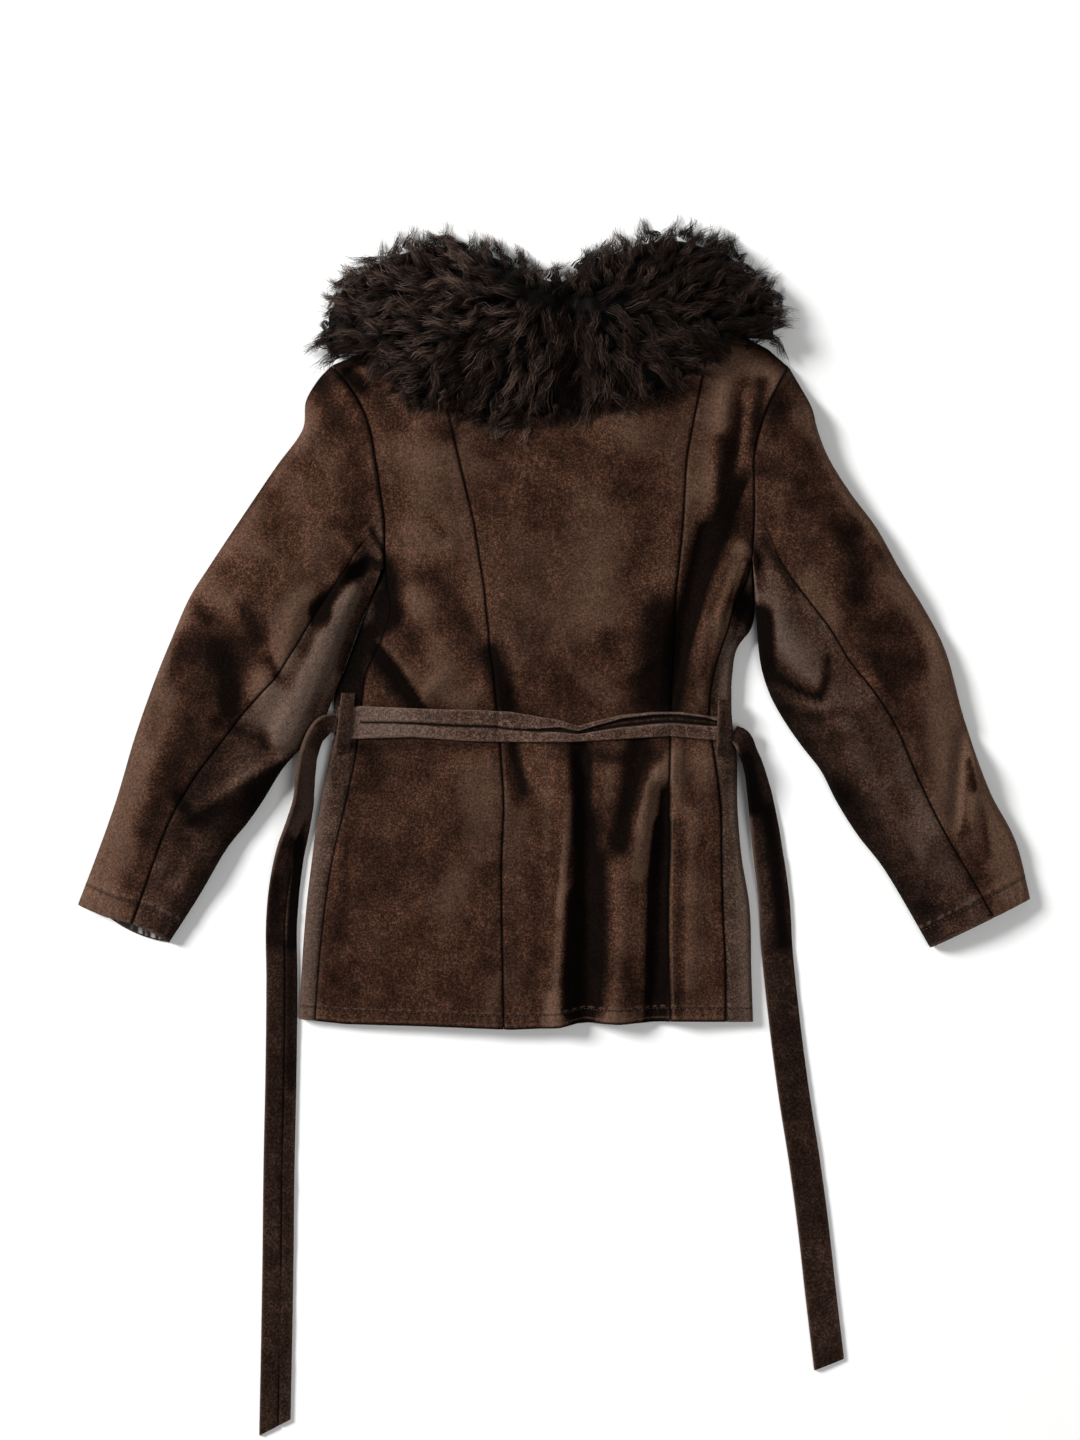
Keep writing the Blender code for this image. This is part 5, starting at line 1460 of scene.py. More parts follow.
@dataclass
class WaistBelt:
    """The belt across the back: a band with both edges folded in, which leave a slit between them."""

    thick: float = BELT_THICK
    across: int = 31
    middle_y: float = 106.0
    join_x: float = -57.0
    slit_ends: tuple[float, float] = (-190.0, 168.0)
    rubbed_x: float = -165.0

    def slit(self, x: Array) -> tuple[Array, Array]:
        """Course of the slit, which is closed on the left and open on the right.

        Args:
            x: places along the belt.

        Returns:
            Its place across the belt, as a share, and its half width.
        """
        stations = (-190, -120, -60, -42, -17, 6, 22, 40, 70, 100, 150, 165)
        places = (0.50, 0.47, 0.50, 0.44, 0.47, 0.57, 0.56, 0.62, 0.68, 0.70, 0.74, 0.72)
        widths = (0.1, 0.7, 0.5, 0.25, 1.0, 2.6, 2.2, 3.6, 4.7, 5.0, 4.6, 2.4)
        return np.interp(x, stations, places), np.interp(x, stations, widths)

    def wall(self, fronts: tuple[Wall, Wall], panels: Sequence[Wall]) -> Wall:
        """The belt, from the points of the pieces that it lies on, moved out.

        Args:
            fronts: walls of the two fronts.
            panels: walls of the back panels, left to right.

        Returns:
            The belt's wall with its seam value, which holds the slit's painted shade too, its value of
            painted shade, highlights and wear, and its edge value of painted highlights.
        """
        rows = slice(BELT_FIRST, BELT_FIRST + ROW_COUNTS[1] + 1)
        strip_columns = len(TOP_SHARES)
        grids = [fronts[0].outer[rows, strip_columns - 1::-1], *(panel.outer[rows] for panel in panels),
                 fronts[1].outer[rows, :strip_columns]]
        strip = grids[0]
        for grid in grids[1:]:
            joint = 0.5 * (strip[:, -1:] + grid[:, :1])
            strip = np.concatenate([strip[:, :-1], joint, grid[:, 1:]], axis=1)
        strip = strip[:, (strip[4, :, 0] > BELT_LEFT_END + 1) & (strip[4, :, 0] < BELT_RIGHT_END - 1)]
        strip = np.concatenate([strip[:, :1], strip, strip[:, -1:]], axis=1)
        strip[:, [0, -1], 0] = BELT_LEFT_END, BELT_RIGHT_END
        share = eased(self.across - 1, 0.5)
        under = between(strip, share * (len(strip) - 1))
        smoothed = under[..., 2].copy()
        for _ in range(SOFTEN_ROUNDS):
            smoothed[:, 1:-1] = 0.25 * smoothed[:, :-2] + 0.5 * smoothed[:, 1:-1] + 0.25 * smoothed[:, 2:]
        under[..., 2] = np.maximum(under[..., 2], smoothed) + 0.75
        x, y = under[..., 0], under[..., 1]
        share = share[:, None] + 0 * x
        place, wide = self.slit(x)
        place = place + 0.02 * drift(x, y, 30, 51)
        from_slit = np.maximum(np.abs(share - place) * BELT_WIDTH - wide, 0)
        from_edge = np.minimum(share, 1 - share) * BELT_WIDTH
        lift = self.thick * (0.42 + 0.58 * rounded(from_edge, 2.2))
        closed = smooth((self.slit_ends[0] - x) / 6) + smooth((x - self.slit_ends[1]) / 5)
        opened = smooth((wide - 0.8) / 1.2)
        deep = (1.9 + 1.3 * opened) * (1 - np.clip(closed, 0, 1))
        lift -= deep * bell(from_slit, 1.0)
        lift += 1.0 * bell(from_slit - 1.9, 1.5) * opened
        lift += unevenness(x, y, BELT_WAVES, 52)
        past_join = x - self.join_x
        join = np.abs(past_join - 0.12 * (y - self.middle_y))
        lift -= groove(join, 0.8, 1.3)
        lift += 0.5 * smooth(past_join / 2) * np.exp(-np.maximum(past_join, 0) / 16)
        over = under.copy()
        over[..., 2] += np.maximum(lift, 0.7)
        # Painted shade in the slit between the folded edges, lighter where it opens wide, and a dark line
        # at the join.
        dark = np.maximum(bell(from_slit, 1.2) * (1 - np.clip(closed, 0, 1)), 0.7 * groove(join, 1.0, 0.9))
        inside = np.abs(share - place) * BELT_WIDTH / np.maximum(wide, 0.5)
        dark *= 1 - 0.30 * opened * bell(inside, 0.42)
        # Painted highlights along the belt's edges and the slit's lips; painted shade and highlights from
        # the relief, and a rubbed lighter stretch near the left loop.
        rim = np.maximum(np.exp(-from_edge / 1.4), opened * bell(from_slit - 1.3, 1.1))
        worn = painted_shade_and_wear(over[..., 2], 3, 0.45 * bell(x - self.rubbed_x, 45))
        return Wall(over, under, values={"seam": dark, "worn": worn, "edge": rim})


@dataclass
class BeltTail:
    """A free end of the belt: it turns on its edge beside the loop and then lies flat on the floor."""

    table: tuple[TailRow, ...]
    side: Side
    slant: float
    slit_place: float
    slit_from: float
    join_y: float
    seed: int
    shades: tuple[Fold, ...]
    stations: int = 260
    across: int = 25
    gather: float = 0.42

    def wall(self) -> Wall:
        """The band, swept along its middle line and turned by its bank angle.

        Returns:
            The band's wall with its seam value, which holds the slit's painted shade too, its value of
            painted shade, highlights and wear, and its edge value of painted highlights.
        """
        points = np.array([(row.x, row.y) for row in self.table], float)
        run = run_along(points)
        at = run[-1] * np.linspace(0, 1, self.stations) ** 1.25
        x, y, rise, bank = (curve_through(run, [getattr(row, name) for row in self.table], at)
                            for name in ("x", "y", "rise", "bank"))
        way = unit(np.stack([np.gradient(x, at), np.gradient(y, at)], axis=-1))
        tilt = np.radians(bank)
        sign = self.side.value
        level = np.cos(tilt)
        across = np.stack([-way[:, 1] * level, way[:, 0] * level, -sign * np.sin(tilt)], axis=-1)
        along = np.stack([way[:, 0], way[:, 1], np.zeros_like(x)], axis=-1)
        normal = np.cross(along, across)
        normal *= np.sign(normal[:, 2:3])
        gathered = 1 - self.gather * bell(at, 20)
        half = 0.5 * BELT_WIDTH * gathered * np.sin(np.abs(tilt))
        centre = np.stack([x, y, np.maximum(rise, 0) + half], axis=-1)
        share = eased(self.across - 1, 0.5)
        place = share - 0.5
        under = centre[:, None] + BELT_WIDTH * place[None, :, None] * (gathered[:, None] * across)[:, None]
        ends = smooth((at - run[-1] + 25) / 25)[:, None]
        under += ends[..., None] * (self.slant * place[None, :, None] * along[:, None])
        flat = at[:, None] + 0 * place
        wide = BELT_WIDTH * share + 0 * flat
        begun = smooth((flat - self.slit_from) / 20)
        spot = self.slit_place + 0.018 * drift(flat, wide, 60, self.seed)
        from_slit = np.abs(share - spot) * BELT_WIDTH
        from_edge = np.minimum(share, 1 - share) * BELT_WIDTH + 0 * flat
        lift = BELT_THICK * (0.45 + 0.50 * rounded(from_edge, 2.0))
        lift -= 1.7 * begun * bell(from_slit, 0.9)
        lift += unevenness(flat, wide, TAIL_WAVES, self.seed + 1)
        lift += 0.45 * np.sin(flat / 31 + self.seed) * smooth((flat - 120) / 80) * (share - 0.5)
        join = np.abs(under[..., 1] - self.join_y - 0.1 * wide)
        lift -= groove(join, 0.8, 1.2) - 0.4 * bell(under[..., 1] - self.join_y + 5, 4)
        over = under + np.maximum(lift, 0.9)[..., None] * normal[:, None]
        # Painted shade in the slit and a dark line at the join.
        dark = np.maximum(begun * bell(from_slit, 0.8), 0.7 * groove(join, 1.0, 0.8))
        # Painted shade and highlights from the tail's table, and painted highlights along its edges.
        shade = shade_at(over[..., 0], over[..., 1], self.shades, ())
        worn = 0.5 + 0.4 * np.exp(-from_edge / 1.6) * (1 - np.abs(shade)) + 0.5 * shade
        rim = np.exp(-from_edge / 1.5) * (1 + np.minimum(shade, 0))
        return Wall(over, under, values={"seam": dark, "worn": np.clip(worn, 0, 1), "edge": rim})


@dataclass
class BeltLoop:
    """A strap that lies on the side seam and rises over the belt."""

    size: LoopSize
    belt_top: float
    seed: int

    def wall(self) -> Wall:
        """The strap, with rounded edges and a row of stitches at each end.

        Returns:
            The strap's wall with its seam value, its value of painted highlights, and its edge value of
            painted highlights.
        """
        share = np.linspace(0, 1, 46)
        raised = smooth((share - 0.03) / 0.12) * smooth((0.97 - share) / 0.12)
        x = self.size.top_x + (self.size.foot_x - self.size.top_x) * share
        y = self.size.top_y + (self.size.foot_y - self.size.top_y) * share
        place = np.linspace(-0.5, 0.5, 9)
        across = x[:, None] + self.size.width * place
        places = np.broadcast_to(y[:, None], across.shape)
        rest = np.max(torso_height(across, places), axis=1) + LYING
        under = rest + (self.belt_top + LYING - rest) * raised
        flat = np.stack([across, places, np.broadcast_to(under[:, None], across.shape)], axis=-1)
        from_edge = (0.5 - np.abs(place)) * self.size.width + 0 * across
        ends = np.minimum(share, 1 - share)[:, None] * abs(self.size.top_y - self.size.foot_y)
        lift = LOOP_THICK * (0.5 + 0.5 * rounded(from_edge, 1.8))
        from_stitch = np.abs(ends - 4.5) + 0 * across
        lift -= groove(from_stitch, 0.5, 1.0) - 0.2 * drift(across, places, 6, self.seed)
        over = flat + np.array([0, 0, 1.0]) * np.maximum(lift, 0.8)[..., None]
        # Darker stitches; painted highlights along the strap's rounded edges.
        return Wall(over, flat, values={"seam": 0.6 * groove(from_stitch, 1.0, 0.7),
                                        "worn": np.clip(0.5 + 0.4 * np.exp(-from_edge / 1.5), 0, 1),
                                        "edge": np.exp(-from_edge / 1.4)})


STITCH_SIDES = 6
STITCH_SIZES = (0.25, 0.85, 1.0, 0.85, 0.25)      # thickness of a stitch's rings
STITCH_PLACES = (-0.5, -0.38, 0.0, 0.38, 0.5)     # and their places along it


@dataclass
class Topstitching:
    """Rows of thread stitches, each a short rounded bar that lies in its groove."""

    pitch: float = 4.2
    length: float = 2.7
    thick: float = 0.42
    jog: float = 0.25

    def rows(self, lines: Sequence[Array]) -> tuple[Array, Array]:
        """Points and faces of the stitches along several lines of points.

        Args:
            lines: arrays of points on the cloth's face, in order along each line.

        Returns:
            Points in millimetres and four-cornered faces.
        """
        bars = np.concatenate([self.bars(line) for line in lines])
        first = len(STITCH_SIZES) * STITCH_SIDES * np.arange(len(bars))
        return bars.reshape(-1, 3), (self.bar_faces() + first[:, None, None]).reshape(-1, 4)

    def bars(self, line: Array) -> Array:
        """Points of one line's stitches: rings around each stitch's own way, thin at both ends.

        Args:
            line: points on the cloth's face, in order.

        Returns:
            Points of shape (stitches, rings, sides, 3).
        """
        run = run_along(line)
        starts = np.arange(0.5 * self.pitch, run[-1] - 0.5 * self.pitch, self.pitch)
        starts = starts + self.jog * np.sin(12.9 * np.arange(len(starts)) + run[-1])
        order = np.arange(len(run))
        middle, ahead = (between(line, np.interp(starts + step, run, order)) for step in (0.0, 0.5))
        way = unit(ahead - middle)
        side = unit(np.cross(way, (0, 0, 1)))
        up = np.cross(side, way)
        angle = 2 * np.pi * np.arange(STITCH_SIDES)[:, None] / STITCH_SIDES
        ring = np.cos(angle) * side[:, None] + np.sin(angle) * up[:, None]
        sizes = np.array(STITCH_SIZES)[:, None, None] * self.thick
        places = np.array(STITCH_PLACES)[:, None, None] * self.length
        return (middle + 0.1 * up)[:, None, None] + places * way[:, None, None] + sizes * ring[:, None]

    def bar_faces(self) -> Array:
        """Four-cornered faces of one stitch: its sides, and two for each end.

        Returns:
            Corner numbers of shape (faces, 4).
        """
        side = np.arange(STITCH_SIDES)
        after = (side + 1) % STITCH_SIDES
        ring = np.stack([side, after, after + STITCH_SIDES, side + STITCH_SIDES], axis=-1)
        last = len(STITCH_SIZES) - 1
        ends = [[first, first + corner, first + corner + 1, first + corner + 2]
                for first in (0, last * STITCH_SIDES) for corner in (1, 3)]
        return np.concatenate([ring + number * STITCH_SIDES for number in range(last)] + [np.array(ends)])


SLEEVE_HEAD = 33.0        # height of the sleeve heads, for the fur that lies on them
SLEEVE_HEAD_TOP = 472.0   # and y of their upper ends


def covered_height(x: Array, y: Array) -> Array:
    """Height of the body and sleeve heads at a place, 0 beside them.

    Args:
        x: places across.
        y: places along the coat.

    Returns:
        Heights in millimetres.
    """
    left = body_line("left", y) - 1
    right = body_line("right", y) + 1
    on_body = (x > left) & (x < right) & (y < line_at(SHOULDER, x) + 1.5)
    on_sleeve = ((x <= left) | (x >= right)) & (y < SLEEVE_HEAD_TOP)
    height = np.where(on_body, torso_height(x, y), 0)
    return np.where(on_sleeve, SLEEVE_HEAD, height)


class Comb(NamedTuple):
    """A place in the fur and the angle from +X, in degrees, in which its locks lie."""

    x: float
    y: float
    angle: float


COMBED = tuple(Comb(*row) for row in (
    (-225, 480, 182), (-205, 530, 160), (-200, 455, 200), (-172, 562, 138), (-160, 505, 178),
    (-150, 440, 222), (-120, 585, 112), (-112, 530, 160), (-112, 480, 196), (-110, 435, 240),
    (-84, 592, 92), (-66, 545, 132), (-66, 495, 204), (-66, 420, 258), (-40, 565, 80),
    (-30, 510, 232), (-24, 450, 268), (-8, 556, 66), (14, 552, 88), (2, 500, 276), (12, 430, 268),
    (38, 560, 100), (34, 500, 262), (44, 430, 274), (74, 592, 92), (76, 545, 78), (80, 490, 318),
    (84, 425, 284), (122, 592, 80), (128, 545, 48), (132, 490, 334), (122, 440, 300),
    (172, 572, 52), (180, 522, 14), (172, 475, 340), (210, 540, 30), (216, 505, 4), (150, 448, 306),
))


FUR_FIELD = ((-234, 232), (396, 606))              # x and y between which locks grow
FUR_BORDERS = (-400, -120, NECK_CENTRE, 130, 400)  # x of the borders between the pieces of fur


@dataclass
class FurCollar:
    """A wide collar of long wavy fur: a domed skin and the locks that grow out of it."""

    depth: float = 44.0
    rim: float = 7.0
    rest: float = 25.0
    parting_depth: float = 20.0
    parting_width: float = 11.0
    sink: float = 13.0
    draw_in: float = 13.0
    spacing: float = 10.8
    lock_length: float = 36.0
    shortest: float = 10.0
    longest: float = 48.0
    columns: int = 150
    rows: int = 60
    strands: int = 26
    rings: int = 6
    seed: int = 7

    def outline(self, x: Array) -> tuple[Array, Array]:
        """Lower and upper outline of the fur at x."""
        return column(COLLAR, "x", "low", x), column(COLLAR, "x", "high", x)

    def pile_top(self, x: Array, y: Array) -> Array:
        """Height of the fur's outer surface: deep in the middle of each half, with a parting between.

        Args:
            x: places across.
            y: places along the coat.

        Returns:
            Heights in millimetres.
        """
        low, high = self.outline(x)
        ends = np.minimum(x - COLLAR[0].x, COLLAR[-1].x - x)
        inside = np.maximum(np.minimum(np.minimum(y - low, high - y), 0.8 * ends), 0)
        pile = self.depth * (1 - np.exp(-inside / 20))
        rest = self.rest * smooth((line_at(SHOULDER, x) + 52 - y) / 85)
        parting = self.parting_depth * bell(x - NECK_CENTRE, self.parting_width) * smooth(inside / 20)
        return rest + self.rim + pile - parting + 2.2 * drift(x, y, 24, 71)

    def skin(self) -> Wall:
        """The domed skin, which ends a little inside the locks' reach; it takes the locks' near-black root
        colour, painted shade deep in the pile.

        Returns:
            The skin's wall with its tone value.
        """
        x = np.linspace(COLLAR[0].x + self.draw_in, COLLAR[-1].x - self.draw_in, self.columns)[:, None]
        low, high = self.outline(x)
        share = eased(self.rows, 1.0)
        y = low + self.draw_in + (high - low - 2 * self.draw_in) * share
        x = np.broadcast_to(x, y.shape)
        reach = (-6, 0, 6)
        floor = np.max([covered_height(x + dx, y + dy) for dx in reach for dy in reach], axis=0) + LYING
        floor = np.where(floor < 1, 0, floor)
        column_end, row_end = (np.minimum(np.arange(count), np.arange(count)[::-1]) for count in x.shape)
        end = smooth(np.minimum(column_end[:, None], row_end) / 8.0)
        top = floor + 3.2 + (np.maximum(self.pile_top(x, y) - self.sink, floor + 4) - floor - 3.2) * end
        top += 1.1 * drift(x, y, 8, 72) * end
        under = np.maximum(top - 2.8, floor)
        over, below = (np.stack([x, y, z], axis=-1) for z in (top, under))
        return Wall(over, below, values={"tone": 0.2 + 0 * x})

    def roots(self, rng: np.random.Generator) -> tuple[Array, Array]:
        """Places where locks grow, spread evenly with some jitter.

        Args:
            rng: the seeded random numbers.

        Returns:
            x and y of the roots.
        """
        gx, gy = np.meshgrid(*(np.arange(*ends, self.spacing) for ends in FUR_FIELD))
        gx[1::2] += 0.5 * self.spacing
        x = (gx + rng.uniform(-0.42, 0.42, gx.shape) * self.spacing).ravel()
        y = (gy + rng.uniform(-0.42, 0.42, gy.shape) * self.spacing).ravel()
        low, high = self.outline(x)
        inner = 0.55 * self.draw_in
        keep = (y > low + inner) & (y < high - inner)
        keep &= (x > COLLAR[0].x + inner) & (x < COLLAR[-1].x - inner)
        return x[keep], y[keep]

    def flow(self, x: Array, y: Array, rng: np.random.Generator) -> Array:
        """Angle in which each lock lies: as the combed places near it do, each with its own turn.

        Args:
            x: places across.
            y: places along the coat.
            rng: the seeded random numbers.

        Returns:
            Angles in radians, 0 to the right.
        """
        guide = np.array(COMBED, float)
        turn = np.radians(guide[:, 2])
        near = (10 + np.hypot(x[:, None] - guide[:, 0], y[:, None] - guide[:, 1])) ** -3
        angle = np.arctan2((near * np.sin(turn)).sum(axis=1), (near * np.cos(turn)).sum(axis=1))
        return angle + 0.40 * drift(x, y, 26, 73) + rng.normal(0, 0.34, x.shape)

    def reach_left(self, x: Array, y: Array, way_x: Array, way_y: Array) -> Array:
        """Distance from each root to the outline, along its own way.

        Args:
            x: places across.
            y: places along the coat.
            way_x: x part of each way.
            way_y: y part of each way.

        Returns:
            Distances in millimetres.
        """
        reach = np.full(x.shape, 60.0)
        for step in np.arange(58.0, 0.0, -2.0):
            px, py = x + way_x * step, y + way_y * step
            low, high = self.outline(px)
            outside = (py < low) | (py > high) | (px < COLLAR[0].x) | (px > COLLAR[-1].x)
            reach = np.where(outside, step, reach)
        return reach

    def locks(self) -> tuple[Array, Array, dict[str, Array], Array]:
        """Every strand of every lock: a thin tapered tube that draws in to the lock's curling tip.

        Returns:
            Points of shape (strands, rings, 3 corners, 3), triangles of one strand, values and each
            strand's place across the collar.
        """
        rng = np.random.default_rng(self.seed)
        x, y = self.roots(rng)
        count = len(x)
        angle = self.flow(x, y, rng)
        way_x, way_y = np.cos(angle), np.sin(angle)
        size = rng.uniform(0.72, 1.25, count)
        room = self.reach_left(x, y, way_x, way_y) + rng.uniform(-8.0, 13.0, count)
        length = np.clip(np.minimum(self.lock_length * size, room), self.shortest, self.longest)
        t = np.linspace(0, 1, self.rings)
        bend = rng.normal(0, 6.0, count)
        layer = rng.uniform(0, 1, count)
        wave = rng.uniform(0.8, 2.3, count) * np.minimum(1, length / 24)
        turns = length / rng.uniform(15, 27, count)
        phase = rng.uniform(0, 2 * np.pi, count)
        lifted = rng.uniform(3.0, 12.0, count)
        lock_tone = 0.42 + 0.17 * rng.normal(0, 1, count) + 0.30 * drift(x, y, 34, 76)
        # Painted shade: the locks are darker in the parting; they are also a little darker towards the
        # right.
        lock_tone -= 0.30 * bell(x - NECK_CENTRE, 26) + 0.10 * smooth((x - 20) / 60)

        def strand_line(offset: Array, stretch: Array, frizz: Array) -> Array:
            """Middle line of one strand of every lock.

            Args:
                offset: where each strand starts, beside and above its lock's middle.
                stretch: share of the lock's length that each strand has.
                frizz: size, place and height of each strand's own wave and its own way out of the lock.

            Returns:
                Points of shape (locks, rings, 3).
            """
            run = length[:, None] * t * stretch[:, None]
            swing = 2 * np.pi * turns[:, None] * t + phase[:, None]
            grown = np.sin(0.5 * np.pi * np.minimum(1.6 * t, 1.0))
            own = frizz[:, :1] * np.sin(2 * np.pi * (2.2 * t + frizz[:, 1:2])) * grown
            drawn = 1 - 0.72 * smooth(1.05 * t) + 0.12 * t**4
            curl = bend[:, None] * t**2 + wave[:, None] * np.sin(swing) * grown
            side = curl + own + offset[:, :1] * drawn + frizz[:, 3:4] * run * t
            px = x[:, None] + way_x[:, None] * run - way_y[:, None] * side
            py = y[:, None] + way_y[:, None] * run + way_x[:, None] * side
            surface = self.pile_top(px, py) - self.sink
            raised = 1.5 + layer[:, None] * 7.0 * smooth(3 * t) + lifted[:, None] * np.sin(np.pi * t**0.85)
            raised = raised + 0.9 * wave[:, None] * np.cos(swing) * grown + 0.55 * offset[:, 1:2] * drawn
            raised = raised + frizz[:, 2:3] * np.cos(2 * np.pi * (1.8 * t + frizz[:, 1:2])) * grown
            floor = 2.5 + covered_height(px, py)
            return np.stack([px, py, np.maximum(surface + raised, floor)], axis=-1)

        lines, tones = [], []
        for strand in range(self.strands):
            spoke = 2.4 * strand + rng.uniform(0, 0.8, count)
            wide = self.spacing * 0.62 * size * np.sqrt((strand + rng.uniform(0, 1, count)) / self.strands)
            offset = np.stack([wide * np.cos(spoke), wide * np.sin(spoke)], axis=-1)
            frizz = np.stack([rng.normal(0, 0.7, count), rng.uniform(0, 1, count),
                              rng.normal(0, 0.9, count), rng.normal(0, 0.11, count)], axis=-1)
            lines.append(strand_line(offset, rng.uniform(0.55, 1.15, count), frizz))
            tones.append(np.clip(lock_tone + 0.30 * rng.normal(0, 1, count) + 0.12 * np.sin(spoke), 0, 1))
        line = np.concatenate(lines)
        tone = np.concatenate(tones)
        ahead = unit(np.gradient(line, axis=1))
        side = unit(np.cross(ahead, (0.0, 0.0, 1.0)))
        up = np.cross(side, ahead)
        width = rng.uniform(0.20, 0.48, len(line))[:, None] * (1 - 0.82 * t**1.6)
        corner = np.radians([90, 210, 330])
        spokes = (np.cos(corner)[:, None] * side[:, :, None] + np.sin(corner)[:, None] * up[:, :, None])
        points = line[:, :, None] + width[:, :, None, None] * spokes
        values = {"tone": np.repeat(tone, self.rings * 3),
                  "along": np.tile(np.repeat(t, 3), len(line))}
        return points, self.strand_faces(), values, np.tile(x, self.strands)

    def strand_faces(self) -> Array:
        """Triangles of one strand, closed at both ends.

        Returns:
            Corner numbers of shape (triangles, 3).
        """
        faces = [(0, 2, 1)]
        for ring in range(self.rings - 1):
            for corner in range(3):
                a = ring * 3 + corner
                b = ring * 3 + (corner + 1) % 3
                faces.append((a, b, b + 3))
                faces.append((a, b + 3, a + 3))
        last = (self.rings - 1) * 3
        faces.append((last, last + 1, last + 2))
        return np.array(faces)

    def pile_pieces(self, material: bpy.types.Material, borders: Sequence[float]) -> list[bpy.types.Object]:
        """The locks, joined into one piece for each stretch of the collar.

        Args:
            material: the fur's material.
            borders: x of the borders between the pieces, from left to right.

        Returns:
            The finished pieces.
        """
        points, faces, values, place = self.locks()
        each = self.rings * 3
        pieces = []
        for number, (low, high) in enumerate(zip(borders, borders[1:])):
            chosen = (place >= low) & (place < high)
            count = int(chosen.sum())
            grid = (faces[None] + each * np.arange(count)[:, None, None]).reshape(-1, 3)
            picked = {key: value.reshape(-1, each)[chosen].ravel() for key, value in values.items()}
            chosen_points = points[chosen].reshape(-1, 3)
            pieces.append(new_piece(f"fur_locks_{number + 1}", chosen_points, grid, material, picked,
                                    sharp=ALL_SMOOTH, turn_out=False))
        return pieces


Colour = tuple[float, float, float]
Socket = bpy.types.NodeSocket
Sockets = bpy.types.bpy_prop_collection
NAP_DEPTH = 0.0007                              # height of the nap's bump, in metres
SOIL_AND_SHADE = (0.0012, 0.0006, 0.0004)                 # colour of the dirt in seams and of the deepest painted shade
MIX_SHARE, MIX_FIRST, MIX_SECOND = 0, 6, 7      # inputs of a colour Mix node
MIX_COLOUR = 2                                  # its output


class NodeSheet:
    """Small helper that adds and links shader nodes in one tree."""

    def __init__(self, tree: bpy.types.NodeTree) -> None:
        """Keep the tree that the nodes go into."""
        self.tree = tree

    def add(self, kind: str, **settings: object) -> bpy.types.Node:
        """Add a node; each key names a property or an input, which is set or linked to a socket.

        Args:
            kind: the node's type.
            settings: properties and inputs by name; a colour has three numbers.

        Returns:
            The new node.
        """
        node = self.tree.nodes.new(kind)
        self.fill(node, **settings)
        return node

    def fill(self, node: bpy.types.Node, **settings: object) -> None:
        """Set or link a node's properties and inputs.

        Args:
            node: the node.
            settings: properties and inputs by name; a colour has three numbers.
        """
        for key, value in settings.items():
            if hasattr(node, key):
                setattr(node, key, value)
            else:
                self.feed(node.inputs[key.replace("_", " ")], value)

    def feed(self, socket: Socket, value: object) -> None:
        """Link or set a socket.

        Args:
            socket: the socket.
            value: another socket, a number or a colour.
        """
        if isinstance(value, Socket):
            self.tree.links.new(value, socket)
        else:
            socket.default_value = (*value, 1.0) if socket.type == "RGBA" else value

    def noise(self, vector: Socket, scale: float, detail: float = 3.0, roughness: float = 0.55) -> Socket:
        """Noise between 0 and 1.

        Args:
            vector: the place that it is read at.
            scale: bumps a metre.
            detail: how many finer noises are added.
            roughness: how strong these are.

        Returns:
            The socket of the noise.
        """
        node = self.add("ShaderNodeTexNoise", Vector=vector, Scale=scale, Detail=detail,
                        Roughness=roughness)
        return node.outputs["Fac"]

    def ranged(self, value: Socket, low: float, high: float, to_low: float = 0.0,
               to_high: float = 1.0) -> Socket:
        """Map a value from one range to another, held at both ends.

        Args:
            value: the socket to map.
            low: start of its range.
            high: end of its range.
            to_low: result at the start.
            to_high: result at the end.

        Returns:
            The socket of the result.
        """
        node = self.add("ShaderNodeMapRange", clamp=True, Value=value, From_Min=low, From_Max=high,
                        To_Min=to_low, To_Max=to_high)
        return node.outputs["Result"]

    def sum_of(self, kind: str, first: Socket, second: Socket | float) -> Socket:
        """Work out a sum of two values.

        Args:
            kind: the sum's name, such as ADD or MULTIPLY.
            first: a socket.
            second: a socket or a number.

        Returns:
            The socket of the result.
        """
        node = self.add("ShaderNodeMath", operation=kind)
        self.feed(node.inputs[0], first)
        self.feed(node.inputs[1], second)
        return node.outputs["Value"]

    def plus(self, first: Socket, second: Socket | float) -> Socket:
        """Two values added."""
        return self.sum_of("ADD", first, second)

    def times(self, first: Socket, second: Socket | float) -> Socket:
        """Two values multiplied."""
        return self.sum_of("MULTIPLY", first, second)

    def blend(self, share: Socket | float, first: Socket | Colour, second: Socket | Colour,
              way: str = "MIX") -> Socket:
        """Blend two colours, each a socket or a plain colour, by a socket's share or a fixed one.

        Args:
            share: how much of the second colour.
            first: a socket or a colour.
            second: a socket or a colour.
            way: how they blend, such as MIX.

        Returns:
            The socket of the result.
        """
        node = self.add("ShaderNodeMix", data_type="RGBA", blend_type=way)
        for number, value in ((MIX_SHARE, share), (MIX_FIRST, first), (MIX_SECOND, second)):
            self.feed(node.inputs[number], value)
        return node.outputs[MIX_COLOUR]

    def measure(self, name: str) -> Socket:
        """A named value of the mesh's points."""
        return self.add("ShaderNodeAttribute", attribute_name=name).outputs["Fac"]


